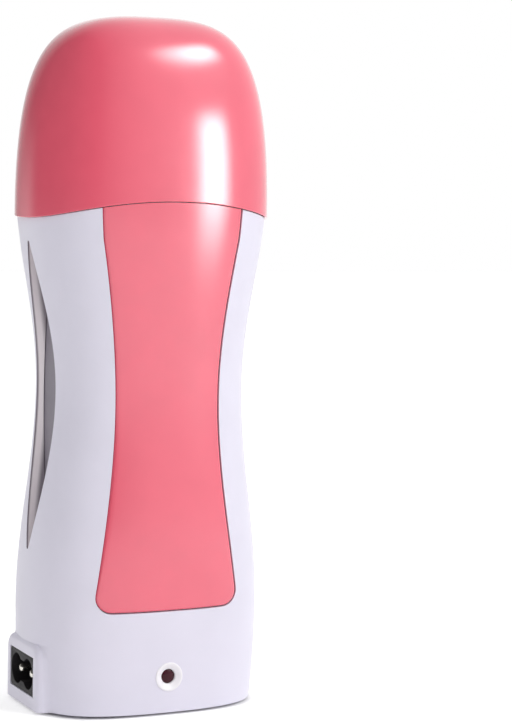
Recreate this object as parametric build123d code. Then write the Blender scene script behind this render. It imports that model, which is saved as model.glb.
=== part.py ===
from build123d import *
import os
from math import cos, pi

os.makedirs("parts", exist_ok=True)

# Roll-on wax heater. Millimetres, +Z up, the front faces -Y, and the origin is
# on the table, under the middle of the base.

# ---- wax cartridge that the well takes
CARTRIDGE_WIDTH = 50.0
CARTRIDGE_DEPTH = 30.6
CARTRIDGE_PLAY = 0.3          # all round, between cartridge and well
WELL_CORNER = 8.0             # outer corner radius of the well

# ---- well liner
LINER_WALL = 0.8
LINER_FLOOR_Z = 42.0          # underside of the floor
LINER_TOP_Z = 145.0
LINER_LIP = 1.5               # lip under the deck, thickness and reach
LINER_GAP = 0.2               # between liner and casing at the waist

# ---- casing form: the waist follows the well, and the rest swells out from it
FULLNESS = 0.75               # how square the sections are: 0.55 is an ellipse
HIP_SWELL_X = 5.1             # hip outside the waist, each side
HIP_SWELL_Y = 2.5
BASE_TAPER_X = 1.4            # base inside the hip, each side
BASE_TAPER_Y = 0.4
RIM_SWELL_X = 6.7             # rim outside the waist, each side
RIM_SWELL_Y = 3.0
CASING_WALL = 2.2
WAIST_SKIN = 2.2              # casing left outside the liner, at the waist
HEATER_SPACE = 3.6            # between liner and casing wall, front and rear
CASING_FOOT_Z = 0.8           # lower edge of the casing
HIP_Z = 28.0
WAIST_Z = 89.0
RIM_Z = 148.0
STATIONS = 10                 # sections that shape the body's height

# ---- line where cap and body part: an arc over the front
PARTING_Z = 140.5             # at the middle of the front
PARTING_RADIUS = 125.0
PARTING_GAP = 0.35
PARTING_MARGIN = 2.0          # forms run this far past the line before they are trimmed

# ---- cap
CAP_TOP_Z = 192.0
CAP_PROUD = 0.1               # cap outside the body's rim
CAP_WALL = 2.2
CROWN_FLAT = 0.09             # width of the level top, as part of the cap's width
CROWN_PULL = 0.56             # how far the level top holds before it turns down
SHOULDER_DROP = 1.5
CROWN_START_Z = 138.0         # the cap's wall is upright below this height
CROWN_STATIONS = 11
SKIRT_DROPS = (16.0, 8.0)     # upright sections below the dome

# ---- neck collar
COLLAR_FIT = 0.1              # between collar and casing
COLLAR_WALL = 1.8
COLLAR_LEAD = 0.8             # taper of the deck's edge, which leads the cap on
COLLAR_FOOT_Z = 130.0
DECK = 2.0
LEDGE = 1.6                   # reach of the ledge under the collar
LEDGE_THICKNESS = 2.0
MOUTH_PLAY = 0.2              # mouth larger than the well, each side
MOUTH_CHAMFER = 0.8

# ---- front inlay, half widths
INLAY_THICKNESS = 1.2
INLAY_GAP = 0.15
INLAY_BOTTOM_Z = 29.0
INLAY_WAIST_Z = 86.0
INLAY_TOP_Z = 144.0           # runs past the parting line, which trims it
INLAY_BOTTOM = 21.5
INLAY_WAIST = 15.2
INLAY_TOP = 22.5
INLAY_BOTTOM_SLOPE = -0.144
INLAY_TOP_SLOPE = 0.185
INLAY_CORNER = 4.3
PEG_DIAMETER = 2.4
PEG_SPACING_X = 20.0
PEG_LOW_Z = 42.0
PEG_HIGH_Z = 128.0

# ---- side windows
WINDOW_HEIGHT = 85.0
WINDOW_WIDTH = 15.0
WINDOW_Z = 87.0
WINDOW_TIP = 0.7              # rounding of the window's two ends
FRAME_WALL = 1.2              # wall round the window, from the casing to the well

# ---- tongues that line up the casing halves
TONGUE_LOW_Z = 22.0
TONGUE_HIGH_Z = 34.0
TONGUE_THICKNESS = 1.4
TONGUE_REACH = 3.0            # past the joint, and as far back along the rear half

# ---- mains inlet, figure of eight
INLET_Z = 9.8
PIN_DIAMETER = 2.36
PIN_SPACING = 8.6
PIN_RECESS = 0.8
PIN_ROOT = 1.9                # diameter of the pin inside the housing
LOBE_DIAMETER = 8.4
INLET_WAIST = 5.8
INLET_DEPTH = 9.6
HOUSING_WIDTH = 18.4
HOUSING_HEIGHT = 10.8
HOUSING_LENGTH = 18.5
HOUSING_CORNER = 1.0
HOUSING_SINK = 0.2            # face of the housing behind the face of the boss
HOUSING_EAR = 1.6
EAR_THICKNESS = 1.5
TAIL_DIAMETER = 1.2
TAIL_LENGTH = 3.0
BOSS_PROUD = 1.8              # face of the boss outside the casing's foot
BOSS_DEPTH = 5.5              # from its face into the casing
BOSS_WIDTH = 25.4
BOSS_TOP_Z = 18.8
BOSS_CORNER = 4.0             # upper corners of the boss, seen from its face
BOSS_ROUND = 1.6              # edge round the face
FIT = 0.1                     # between pieces that slide together

# ---- indicator
LED_Z = 10.7
LED_DIAMETER = 3.0
LED_LENGTH = 5.0
LED_LEAD = 0.5
LED_PITCH = 2.54
LENS_DIAMETER = 4.0
LENS_RECESS = 0.6
BEZEL_DIAMETER = 8.0
BEZEL_MOUTH = 7.0
BEZEL_SLEEVE = 6.4
BEZEL_PROUD = 0.2
BEZEL_RIM = 1.0
BEZEL_LENGTH = 4.2

# ---- base plate, screws and feet
PLATE_THICKNESS = 2.0
PLATE_GAP = 0.2
FOOT_DIAMETER = 8.0
FOOT_SINK = 1.2
FOOT_X = 21.0
FOOT_Y = 12.5
BASE_SCREW_X = 11.0
BASE_SCREW_Y = 17.5
SCREW_DIAMETER = 2.2
SCREW_HEAD = 4.4
HEAD_THICKNESS = 1.1
SCREW_LENGTH = 9.0
SCREW_BOSS = 6.5
SCREW_BOSS_TOP_Z = 14.0
RIB = 2.0

# ---- control board
BOARD_GAP = 1.0               # between boss and board
BOARD_RIGHT_X = 24.0
BOARD_DEPTH = 27.0
BOARD_THICKNESS = 1.2
BOARD_SCREW_X = 12.0
BOARD_SCREW_Y = 10.5
BOARD_SCREW_DIAMETER = 1.8
BOARD_SCREW_HEAD = 3.6
BOARD_POST = 5.0
CAPACITOR = (6.0, 13.0, 11.0)
CAPACITOR_X = 19.0
RESISTOR_DIAMETER = 2.4
RESISTOR_LENGTH = 6.4
RESISTOR_Y = (0.0, 4.5)
DIODE_DIAMETER = 2.6
DIODE_LENGTH = 5.0
DIODE_Y = -4.5
PART_LEAD = 0.7
LEAD_REACH = 2.0

# ---- heater
PAD_WIDTH = 30.0
PAD_LOW_Z = 50.0
PAD_HIGH_Z = 100.0
PLATE_BACK = 0.8              # thickness of the heater plate behind the liner
PLATE_MARGIN = 2.0
PLATE_MARGIN_Z = 5.0
STAKE_X = 4.0
STAKE_DIAMETER = 2.0
STAKE_HEAD = 3.2
STAKE_HEAD_THICKNESS = 0.7
TAB_WIDTH = 22.0
TAB_LOW_Z = 17.0
PTC_WIDTH = 20.0
PTC_LOW_Z = 60.0
PTC_HIGH_Z = 92.0
PTC_THICKNESS = 1.6
INSULATOR = 0.2
TERMINAL_X = 6.0
TERMINAL_WIDTH = 3.0
TERMINAL_THICKNESS = 0.3
TERMINAL_LENGTH = 6.0
STRAP = 0.4
STRAP_HEIGHT = 12.0
STRAP_Z = 76.0
STRAP_SCREW_X = 13.4
STRAP_SCREW_HEAD = 3.2
STRAP_SCREW_HEAD_THICKNESS = 0.7

# ---- thermostat and thermal fuse, on the plate's tab under the well
THERMOSTAT = (20.0, 3.6, 7.6)
THERMOSTAT_Z = 33.0
SENSOR_LEAD_X = 12.0
FUSE_DIAMETER = 4.0
FUSE_LENGTH = 11.0
FUSE_Z = 24.5
SENSOR_STRAP_WIDTH = 6.0
SENSOR_FOOT = 4.0
RIVET_DIAMETER = 2.0
RIVET_HEAD = 3.2
RIVET_HEAD_THICKNESS = 0.7

# ---- leads
WIRE_DIAMETER = 1.4
LEAD_X = 14.5                 # the leads' place behind the liner
LIVE_RISE_Y = 6.5
LEAD_RISE_Y = 8.0

# ---- pressure spring
SLOT_WIDTH = 12.0
SLOT_LOW_Z = 55.5
SLOT_HIGH_Z = 131.0
BAR_DIAMETER = 2.0
BAR_Z = 127.0
SPRING_WIDTH = 10.0
SPRING_THICKNESS = 0.5
EYE_PLAY = 0.1
SPRING_BULGE = 1.2            # into the well
SPRING_END_Z = 52.0
SPRING_END_GAP = 1.1          # end of the spring outside the liner

# ---- sizes that follow
WELL_X = CARTRIDGE_WIDTH / 2 + CARTRIDGE_PLAY
WELL_Y = CARTRIDGE_DEPTH / 2 + CARTRIDGE_PLAY
LINER_X = WELL_X + LINER_WALL
LINER_Y = WELL_Y + LINER_WALL
WAIST_HALF = (LINER_X + LINER_GAP + WAIST_SKIN, LINER_Y + HEATER_SPACE + CASING_WALL)
HIP_HALF = (WAIST_HALF[0] + HIP_SWELL_X, WAIST_HALF[1] + HIP_SWELL_Y)
BASE_HALF = (HIP_HALF[0] - BASE_TAPER_X, HIP_HALF[1] - BASE_TAPER_Y)
RIM_HALF = (WAIST_HALF[0] + RIM_SWELL_X, WAIST_HALF[1] + RIM_SWELL_Y)
CAP_HALF = (RIM_HALF[0] + CAP_PROUD, RIM_HALF[1] + CAP_PROUD)
REACH = 2 * CAP_HALF[0]       # past everything, for cuts that go right through
BOSS_FACE_X = -BASE_HALF[0] - BOSS_PROUD
BOSS_BACK_X = BOSS_FACE_X + BOSS_DEPTH
BOARD_LEFT_X = BOSS_BACK_X + BOARD_GAP
BOARD_Z = INLET_Z - HOUSING_HEIGHT / 2 - BOARD_THICKNESS
BOARD_TOP_Z = BOARD_Z + BOARD_THICKNESS
PLATE_TOP_Z = CASING_FOOT_Z + PLATE_THICKNESS
HOUSING_FACE_X = BOSS_FACE_X + HOUSING_SINK
HOUSING_BACK_X = HOUSING_FACE_X + HOUSING_LENGTH
PLATE_REAR_Y = LINER_Y + PLATE_BACK
PTC_REAR_Y = PLATE_REAR_Y + PTC_THICKNESS
DECK_TOP_Z = LINER_TOP_Z + DECK


def save(solid, name):
    export_step(solid, f"parts/{name}.step")


def block(low, high):
    """Box between two corners."""
    size = [h - l for l, h in zip(low, high)]
    middle = [(h + l) / 2 for l, h in zip(low, high)]
    return Pos(*middle) * Box(*size)


def rod(start, end, diameter):
    """Round bar from one point to another."""
    line = Vector(*end) - Vector(*start)
    plane = Plane(origin=start, z_dir=line)
    return extrude(plane * Circle(diameter / 2), line.length)


def ease(t):
    """Smooth step from 0 to 1 that starts and ends level."""
    return (1 - cos(pi * t)) / 2


def between(first, second, t):
    return tuple(p + (q - p) * t for p, q in zip(first, second))


def body_half(z):
    """Half width and half depth of the body at height z."""
    if z < HIP_Z:
        return between(HIP_HALF, BASE_HALF, ((HIP_Z - z) / (HIP_Z - CASING_FOOT_Z)) ** 2)
    if z < WAIST_Z:
        return between(HIP_HALF, WAIST_HALF, ease((z - HIP_Z) / (WAIST_Z - HIP_Z)))
    return between(WAIST_HALF, RIM_HALF, ease(min(1, (z - WAIST_Z) / (RIM_Z - WAIST_Z))))


def section(half, z):
    """Level section of the body: four like curves, fuller than an ellipse."""
    a, b = half
    ends = [(a, 0), (0, b), (-a, 0), (0, -b)]
    curves = []
    for start, end in zip(ends, ends[1:] + ends[:1]):
        corner = (start[0] + end[0], start[1] + end[1])
        curves.append(Bezier(start, between(start, corner, FULLNESS), between(end, corner, FULLNESS), end))
    return Pos(0, 0, z) * make_face(curves)


def body_form(inset, low, high, stations=STATIONS):
    """The body's form between two heights, moved inwards by inset."""
    heights = [low + (high - low) * i / stations for i in range(stations + 1)]
    halves = [body_half(z) for z in heights]
    return loft([section((a - inset, b - inset), z) for (a, b), z in zip(halves, heights)])


def parting(gap):
    """Everything under the parting line: a lying cylinder, grown by gap."""
    return Pos(0, 0, PARTING_Z - PARTING_RADIUS) * Rot(90, 0, 0) * Cylinder(
        PARTING_RADIUS + gap, 2 * REACH
    )


def well_form(grow, low, high):
    """Upright column with the well liner's outline."""
    outline = RectangleRounded(2 * (LINER_X + grow), 2 * (LINER_Y + grow), WELL_CORNER + grow)
    return extrude(Pos(0, 0, low) * outline, high - low)


def window_form(grow):
    """Lens-shaped bar across the body, for both side windows, grown by grow."""
    half_width = WINDOW_WIDTH / 2
    radius = (WINDOW_HEIGHT**2 / 4 + half_width**2) / WINDOW_WIDTH
    offset = radius - half_width
    lens = Pos(offset, 0) * Circle(radius + grow) & Pos(-offset, 0) * Circle(radius + grow)
    lens = fillet(lens.vertices(), WINDOW_TIP + grow)
    return extrude(Plane.YZ * Pos(0, WINDOW_Z) * lens, REACH, both=True)


def window_frames():
    """Walls that close the gap between casing and well round both windows."""
    low = LINER_FLOOR_Z - LEDGE_THICKNESS
    high = COLLAR_FOOT_Z
    frames = body_form(CASING_WALL / 2, low, high) & window_form(FRAME_WALL)
    frames -= block((-LINER_X - LINER_GAP, -REACH, 0), (LINER_X + LINER_GAP, REACH, CAP_TOP_Z))
    return frames


def inlay_outline(grow):
    """Outline of the front inlay in the XZ plane, grown by grow."""
    low = INLAY_BOTTOM_Z - grow
    bottom = INLAY_BOTTOM + grow
    waist = INLAY_WAIST + grow
    top = INLAY_TOP + grow
    rise = (INLAY_WAIST_Z - low) / 3
    climb = (INLAY_TOP_Z - INLAY_WAIST_Z) / 3
    lower = Bezier(
        (bottom, low),
        (bottom + INLAY_BOTTOM_SLOPE * rise, low + rise),
        (waist, INLAY_WAIST_Z - rise),
        (waist, INLAY_WAIST_Z),
    )
    upper = Bezier(
        (waist, INLAY_WAIST_Z),
        (waist, INLAY_WAIST_Z + climb),
        (top - INLAY_TOP_SLOPE * climb, INLAY_TOP_Z - climb),
        (top, INLAY_TOP_Z),
    )
    side = lower + upper
    ends = Line((-bottom, low), (bottom, low)) + Line((-top, INLAY_TOP_Z), (top, INLAY_TOP_Z))
    outline = make_face(side + mirror(side, Plane.YZ) + ends)
    return fillet(outline.vertices().group_by(Axis.Y)[0], INLAY_CORNER + grow)


def outer_form():
    """The casing's outer form, open past the parting line."""
    return body_form(0, CASING_FOOT_Z, PARTING_Z + PARTING_MARGIN)


def inlay_recess(grow):
    """All that lies in front of the inlay's back face, within its outline grown by grow."""
    front = extrude(Plane.XZ * inlay_outline(grow), REACH)
    return front - body_form(INLAY_THICKNESS, CASING_FOOT_Z - 1, INLAY_TOP_Z + 1)


def peg_places():
    return [(side * PEG_SPACING_X / 2, z) for side in (-1, 1) for z in (PEG_LOW_Z, PEG_HIGH_Z)]


def cap_section(t, wall):
    """Section of the dome, from its level top at t = 0 to the upright rim at t = 1."""
    a = CAP_HALF[0] - wall
    b = CAP_HALF[1] - wall
    top = CAP_TOP_Z - wall
    profile = Bezier(
        (0, top),
        (a * CROWN_PULL, top),
        (a, top - SHOULDER_DROP),
        (a, CROWN_START_Z),
    )
    point = profile @ t
    return section((point.X, point.X * b / a), point.Y)


def cap_form(wall):
    """The dome's solid form, moved inwards by wall."""
    a = CAP_HALF[0] - wall
    b = CAP_HALF[1] - wall
    first = CROWN_FLAT / CROWN_PULL / 3
    steps = [first + (1 - first) * (i / CROWN_STATIONS) for i in range(CROWN_STATIONS + 1)]
    dome = [cap_section(t, wall) for t in reversed(steps)]
    skirt = [section((a, b), CROWN_START_Z - drop) for drop in SKIRT_DROPS]
    return loft(skirt + dome)


def cap_shell():
    return cap_form(0) - cap_form(CAP_WALL) - parting(PARTING_GAP)


def screw_bosses():
    """Bosses for the base screws, each tied to the casing wall by a rib."""
    bosses = Part()
    for side in (-1, 1):
        for face in (-1, 1):
            x = side * BASE_SCREW_X
            y = face * BASE_SCREW_Y
            bosses += rod((x, y, PLATE_TOP_Z), (x, y, SCREW_BOSS_TOP_Z), SCREW_BOSS)
            rib = block((x - RIB / 2, 0, PLATE_TOP_Z), (x + RIB / 2, REACH, SCREW_BOSS_TOP_Z))
            rib = mirror(rib, Plane.XZ) if face < 0 else rib
            bosses += rib - block((-REACH, -BASE_SCREW_Y, 0), (REACH, BASE_SCREW_Y, HIP_Z))
    return bosses & body_form(CASING_WALL / 2, CASING_FOOT_Z, HIP_Z, 4)


def inlet_boss():
    """Raised block round the mains inlet, on the left side, rounded at its top and face."""
    boss = block(
        (BOSS_FACE_X, -BOSS_WIDTH / 2, CASING_FOOT_Z), (BOSS_BACK_X, BOSS_WIDTH / 2, BOSS_TOP_Z)
    )
    upper = boss.edges().filter_by(Axis.X).group_by(Axis.Z)[-1]
    boss = fillet(upper, BOSS_CORNER)
    face = boss.faces().sort_by(Axis.X)[0]
    return fillet(face.edges().sort_by(Axis.Z)[1:], BOSS_ROUND)


def inlet_outline(grow):
    """Outline of the inlet housing, looking along X."""
    return RectangleRounded(HOUSING_WIDTH + 2 * grow, HOUSING_HEIGHT + 2 * grow, HOUSING_CORNER)


def inlet_plane(x):
    """Plane across the inlet's axis, facing out of the socket."""
    return Plane(origin=(x, 0, INLET_Z), x_dir=(0, 1, 0), z_dir=(-1, 0, 0))


def casing():
    """Both casing halves in one piece, before they are parted."""
    shell = outer_form()
    shell -= body_form(CASING_WALL, CASING_FOOT_Z - 1, PARTING_Z + 2 * PARTING_MARGIN)
    ledge_low = COLLAR_FOOT_Z - LEDGE_THICKNESS
    ledge = body_form(CASING_WALL / 2, ledge_low, COLLAR_FOOT_Z, 2)
    ledge -= body_form(CASING_WALL + LEDGE, ledge_low - 1, COLLAR_FOOT_Z + 1, 2)
    seat_low = LINER_FLOOR_Z - LEDGE_THICKNESS
    seat = body_form(CASING_WALL / 2, seat_low, LINER_FLOOR_Z, 2)
    seat -= well_form(-LEDGE, seat_low - 1, LINER_FLOOR_Z + 1)
    seat -= block(
        (-LEAD_X - RIB, 0, seat_low - 1), (LEAD_X + RIB, LINER_Y + HEATER_SPACE, LINER_FLOOR_Z + 1)
    )
    shell = shell + ledge + seat + inlet_boss() + screw_bosses() + window_frames()
    shell -= well_form(LINER_GAP, LINER_FLOOR_Z, LINER_TOP_Z)
    shell -= extrude(inlet_plane(0) * inlet_outline(FIT), REACH)
    shell -= window_form(0)
    for side in (-1, 1):
        for face in (-1, 1):
            x = side * BASE_SCREW_X
            y = face * BASE_SCREW_Y
            shell -= rod((x, y, 0), (x, y, CASING_FOOT_Z + FOOT_SINK + SCREW_LENGTH), SCREW_DIAMETER)
    return shell & parting(0)


def front_y(z):
    return -body_half(z)[1]


def front_casing(whole):
    half = whole - block((-REACH, 0, -1), (REACH, REACH, CAP_TOP_Z))
    half -= inlay_recess(INLAY_GAP)
    for x, z in peg_places():
        half -= rod((x, -REACH, z), (x, 0, z), PEG_DIAMETER)
    face = front_y(LED_Z)
    half -= rod((0, -REACH, LED_Z), (0, -BASE_SCREW_Y, LED_Z), BEZEL_SLEEVE)
    half -= rod((0, -REACH, LED_Z), (0, face - BEZEL_PROUD + BEZEL_RIM, LED_Z), BEZEL_DIAMETER)
    return half


def seam_tongues():
    """One tongue on each side wall of the rear half, which reaches inside the front half."""
    outer = body_form(CASING_WALL + FIT, TONGUE_LOW_Z, TONGUE_HIGH_Z, 4)
    root = body_form(CASING_WALL / 2, TONGUE_LOW_Z, TONGUE_HIGH_Z, 4)
    inner = body_form(CASING_WALL + FIT + TONGUE_THICKNESS, TONGUE_LOW_Z, TONGUE_HIGH_Z, 4)
    outer &= block((-REACH, -TONGUE_REACH, 0), (REACH, TONGUE_REACH, CAP_TOP_Z))
    root &= block((-REACH, 0, 0), (REACH, TONGUE_REACH, CAP_TOP_Z))
    return outer + root - inner


def rear_casing(whole):
    half = whole - block((-REACH, -REACH, -1), (REACH, 0, CAP_TOP_Z))
    return half + seam_tongues()


def front_inlay():
    inlay = outer_form() & inlay_recess(0) & parting(0)
    inner = body_form(CASING_WALL, CASING_FOOT_Z, RIM_Z)
    pegs = Part()
    for x, z in peg_places():
        pegs += rod((x, front_y(z) + INLAY_THICKNESS / 2, z), (x, 0, z), PEG_DIAMETER)
    return inlay + (pegs - inner)


def neck_collar():
    """Ring inside the casing's top: it carries the cap, and its deck has the well's mouth."""
    fit = CASING_WALL + COLLAR_FIT
    collar = body_form(fit, COLLAR_FOOT_Z, LINER_TOP_Z, 4)
    a, b = body_half(LINER_TOP_Z)
    edge = [(LINER_TOP_Z, fit), (DECK_TOP_Z, fit + COLLAR_LEAD)]
    collar += loft([section((a - inset, b - inset), z) for z, inset in edge])
    collar -= body_form(fit + COLLAR_WALL, COLLAR_FOOT_Z - 1, LINER_TOP_Z, 4)
    collar -= well_form(MOUTH_PLAY - LINER_WALL, LINER_TOP_Z - 1, DECK_TOP_Z + 1)
    rim = collar.faces().sort_by(Axis.Z)[-1]
    return chamfer(rim.inner_wires()[0].edges(), MOUTH_CHAMFER)


def spring_slot():
    return block((-SLOT_WIDTH / 2, -LINER_Y - 1, SLOT_LOW_Z), (SLOT_WIDTH / 2, 0, SLOT_HIGH_Z))


def well_liner():
    """Rounded rectangular well with a floor, a spring slot and a window for the heater."""
    liner = well_form(0, LINER_FLOOR_Z, LINER_TOP_Z)
    liner += well_form(LINER_LIP, LINER_TOP_Z - LINER_LIP, LINER_TOP_Z)
    liner -= well_form(-LINER_WALL, LINER_FLOOR_Z + LINER_LIP, LINER_TOP_Z + 1)
    liner -= spring_slot()
    liner -= block(
        (-PAD_WIDTH / 2 - FIT, 0, PAD_LOW_Z - FIT),
        (PAD_WIDTH / 2 + FIT, LINER_Y + 1, PAD_HIGH_Z + FIT),
    )
    bar_y = -LINER_Y + LINER_WALL / 2
    liner += rod((-SLOT_WIDTH / 2, bar_y, BAR_Z), (SLOT_WIDTH / 2, bar_y, BAR_Z), BAR_DIAMETER)
    for x, z in stake_places():
        liner += rod((x, LINER_Y - LINER_WALL / 2, z), (x, PLATE_REAR_Y, z), STAKE_DIAMETER)
        liner += rod((x, PLATE_REAR_Y, z), (x, PLATE_REAR_Y + STAKE_HEAD_THICKNESS, z), STAKE_HEAD)
    return liner


def stake_places():
    middle = PLATE_MARGIN_Z / 2
    return [(side * STAKE_X, z) for side in (-1, 1) for z in (PAD_LOW_Z - middle, PAD_HIGH_Z + middle)]


def heater_plate():
    """Aluminium plate: a pad in the liner's window, a flange behind it and a tab under the well."""
    pad = block((-PAD_WIDTH / 2, WELL_Y, PAD_LOW_Z), (PAD_WIDTH / 2, LINER_Y, PAD_HIGH_Z))
    half = PAD_WIDTH / 2 + PLATE_MARGIN
    flange = block(
        (-half, LINER_Y, PAD_LOW_Z - PLATE_MARGIN_Z), (half, PLATE_REAR_Y, PAD_HIGH_Z + PLATE_MARGIN_Z)
    )
    tab = block((-TAB_WIDTH / 2, LINER_Y, TAB_LOW_Z), (TAB_WIDTH / 2, PLATE_REAR_Y, PAD_LOW_Z))
    plate = pad + flange + tab
    for x, z in stake_places():
        plate -= rod((x, 0, z), (x, REACH, z), STAKE_DIAMETER)
    for x, z in sensor_rivet_places():
        plate -= rod((x, 0, z), (x, REACH, z), RIVET_DIAMETER)
    for side in (-1, 1):
        x = side * STRAP_SCREW_X
        plate -= rod((x, WELL_Y + PLATE_BACK / 2, STRAP_Z), (x, REACH, STRAP_Z), RIVET_DIAMETER)
    return plate


def ptc_element():
    """Flat heating element with two solder tabs at its lower end."""
    element = block(
        (-PTC_WIDTH / 2, PLATE_REAR_Y, PTC_LOW_Z), (PTC_WIDTH / 2, PTC_REAR_Y, PTC_HIGH_Z)
    )
    element = fillet(element.edges().filter_by(Axis.Z), PTC_THICKNESS / 4)
    middle = (PLATE_REAR_Y + PTC_REAR_Y) / 2
    for side in (-1, 1):
        x = side * TERMINAL_X
        element += block(
            (x - TERMINAL_WIDTH / 2, middle - TERMINAL_THICKNESS / 2, PTC_LOW_Z - TERMINAL_LENGTH),
            (x + TERMINAL_WIDTH / 2, middle + TERMINAL_THICKNESS / 2, PTC_LOW_Z + 1),
        )
    return element


def ptc_insulator():
    return block(
        (-PTC_WIDTH / 2, PTC_REAR_Y, PTC_LOW_Z), (PTC_WIDTH / 2, PTC_REAR_Y + INSULATOR, PTC_HIGH_Z)
    )


def ptc_strap():
    """Bent strip that presses the element to the heater plate."""
    top = PTC_REAR_Y + INSULATOR
    step = PTC_WIDTH / 2 + FIT
    end = STRAP_SCREW_X + STRAP_SCREW_HEAD / 2
    strip = block((-step - STRAP, top, 0), (step + STRAP, top + STRAP, STRAP_HEIGHT))
    for side in (-1, 1):
        inner = side * step
        outer = side * (step + STRAP)
        strip += block(
            (min(inner, outer), PLATE_REAR_Y, 0), (max(inner, outer), top + STRAP, STRAP_HEIGHT)
        )
        tip = side * end
        strip += block(
            (min(inner, tip), PLATE_REAR_Y, 0), (max(inner, tip), PLATE_REAR_Y + STRAP, STRAP_HEIGHT)
        )
    strip = Pos(0, 0, STRAP_Z - STRAP_HEIGHT / 2) * strip
    for side in (-1, 1):
        x = side * STRAP_SCREW_X
        strip -= rod((x, 0, STRAP_Z), (x, REACH, STRAP_Z), RIVET_DIAMETER)
    return strip


def ptc_strap_screws():
    screws = []
    seat = PLATE_REAR_Y + STRAP
    for side in (-1, 1):
        x = side * STRAP_SCREW_X
        shank = rod((x, WELL_Y + PLATE_BACK / 2, STRAP_Z), (x, seat, STRAP_Z), RIVET_DIAMETER)
        head = rod((x, seat, STRAP_Z), (x, seat + STRAP_SCREW_HEAD_THICKNESS, STRAP_Z), STRAP_SCREW_HEAD)
        screws.append(shank + head)
    return screws


def sensor_rivet_places():
    upper = THERMOSTAT_Z + THERMOSTAT[2] / 2 + STRAP + SENSOR_FOOT / 2
    lower = FUSE_Z - FUSE_DIAMETER / 2 - STRAP - SENSOR_FOOT / 2
    return [(0, lower), (0, upper)]


def thermostat():
    """Flat thermal switch against the front of the plate's tab."""
    width, depth, height = THERMOSTAT
    body = block(
        (-width / 2, LINER_Y - depth, THERMOSTAT_Z - height / 2),
        (width / 2, LINER_Y, THERMOSTAT_Z + height / 2),
    )
    body = fillet(body.edges().filter_by(Axis.Y), 1)
    y = LINER_Y - depth / 2
    return body + rod((-SENSOR_LEAD_X, y, THERMOSTAT_Z), (SENSOR_LEAD_X, y, THERMOSTAT_Z), PART_LEAD)


def thermal_fuse():
    y = LINER_Y - FUSE_DIAMETER / 2
    body = rod((-FUSE_LENGTH / 2, y, FUSE_Z), (FUSE_LENGTH / 2, y, FUSE_Z), FUSE_DIAMETER)
    return body + rod((-SENSOR_LEAD_X, y, FUSE_Z), (SENSOR_LEAD_X, y, FUSE_Z), PART_LEAD)


def sensor_strap():
    """Bent strip that holds thermostat and fuse to the tab."""
    inner_top = THERMOSTAT_Z + THERMOSTAT[2] / 2
    inner_low = FUSE_Z - FUSE_DIAMETER / 2
    front = LINER_Y - max(THERMOSTAT[1], FUSE_DIAMETER)
    outer = block((0, front - STRAP, inner_low - STRAP), (1, LINER_Y, inner_top + STRAP))
    outer -= block((-1, front, inner_low), (2, LINER_Y + 1, inner_top))
    outer += block(
        (0, LINER_Y - STRAP, inner_top), (1, LINER_Y, inner_top + STRAP + SENSOR_FOOT)
    )
    outer += block((0, LINER_Y - STRAP, inner_low - STRAP - SENSOR_FOOT), (1, LINER_Y, inner_low))
    profile = outer.faces().sort_by(Axis.X)[0]
    strap = extrude(Pos(-SENSOR_STRAP_WIDTH / 2, 0, 0) * profile, SENSOR_STRAP_WIDTH, dir=(1, 0, 0))
    for x, z in sensor_rivet_places():
        strap -= rod((x, 0, z), (x, REACH, z), RIVET_DIAMETER)
    return strap


def sensor_rivets():
    rivets = []
    front = LINER_Y - STRAP
    for x, z in sensor_rivet_places():
        rivet = rod((x, front, z), (x, PLATE_REAR_Y, z), RIVET_DIAMETER)
        rivet += rod((x, front - RIVET_HEAD_THICKNESS, z), (x, front, z), RIVET_HEAD)
        rivet += rod((x, PLATE_REAR_Y, z), (x, PLATE_REAR_Y + RIVET_HEAD_THICKNESS, z), RIVET_HEAD)
        rivets.append(rivet)
    return rivets


def pressure_spring():
    """Leaf spring that hangs from the liner's bar and bulges into the well."""
    bar_y = -LINER_Y + LINER_WALL / 2
    eye = BAR_DIAMETER / 2 + EYE_PLAY
    top = (bar_y - eye - SPRING_THICKNESS / 2, BAR_Z)
    end = (-LINER_Y - SPRING_END_GAP, SPRING_END_Z)
    bulge = (-WELL_Y + SPRING_BULGE - SPRING_THICKNESS / 2, (BAR_Z + SPRING_END_Z) / 2)
    leaf = ThreePointArc(top, bulge, end)
    strip = trace(leaf, SPRING_THICKNESS)
    strip += Pos(bar_y, BAR_Z) * (Circle(eye + SPRING_THICKNESS) - Circle(eye))
    return extrude(Plane.YZ * strip, SPRING_WIDTH / 2, both=True)


def socket_housing():
    """Inlet housing with a figure-of-eight socket; it stands on the control board."""
    housing = extrude(inlet_plane(HOUSING_BACK_X) * inlet_outline(0), HOUSING_LENGTH)
    half = HOUSING_WIDTH / 2 + HOUSING_EAR
    housing += block(
        (BOSS_BACK_X, -half, INLET_Z - HOUSING_HEIGHT / 2),
        (BOSS_BACK_X + EAR_THICKNESS, half, INLET_Z + HOUSING_HEIGHT / 2),
    )
    eight = Rectangle(PIN_SPACING, INLET_WAIST)
    for side in (-1, 1):
        eight += Pos(side * PIN_SPACING / 2, 0) * Circle(LOBE_DIAMETER / 2)
    housing -= extrude(inlet_plane(HOUSING_FACE_X + INLET_DEPTH) * eight, INLET_DEPTH + 1)
    for pin in socket_pins():
        housing -= pin
    return housing


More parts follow.
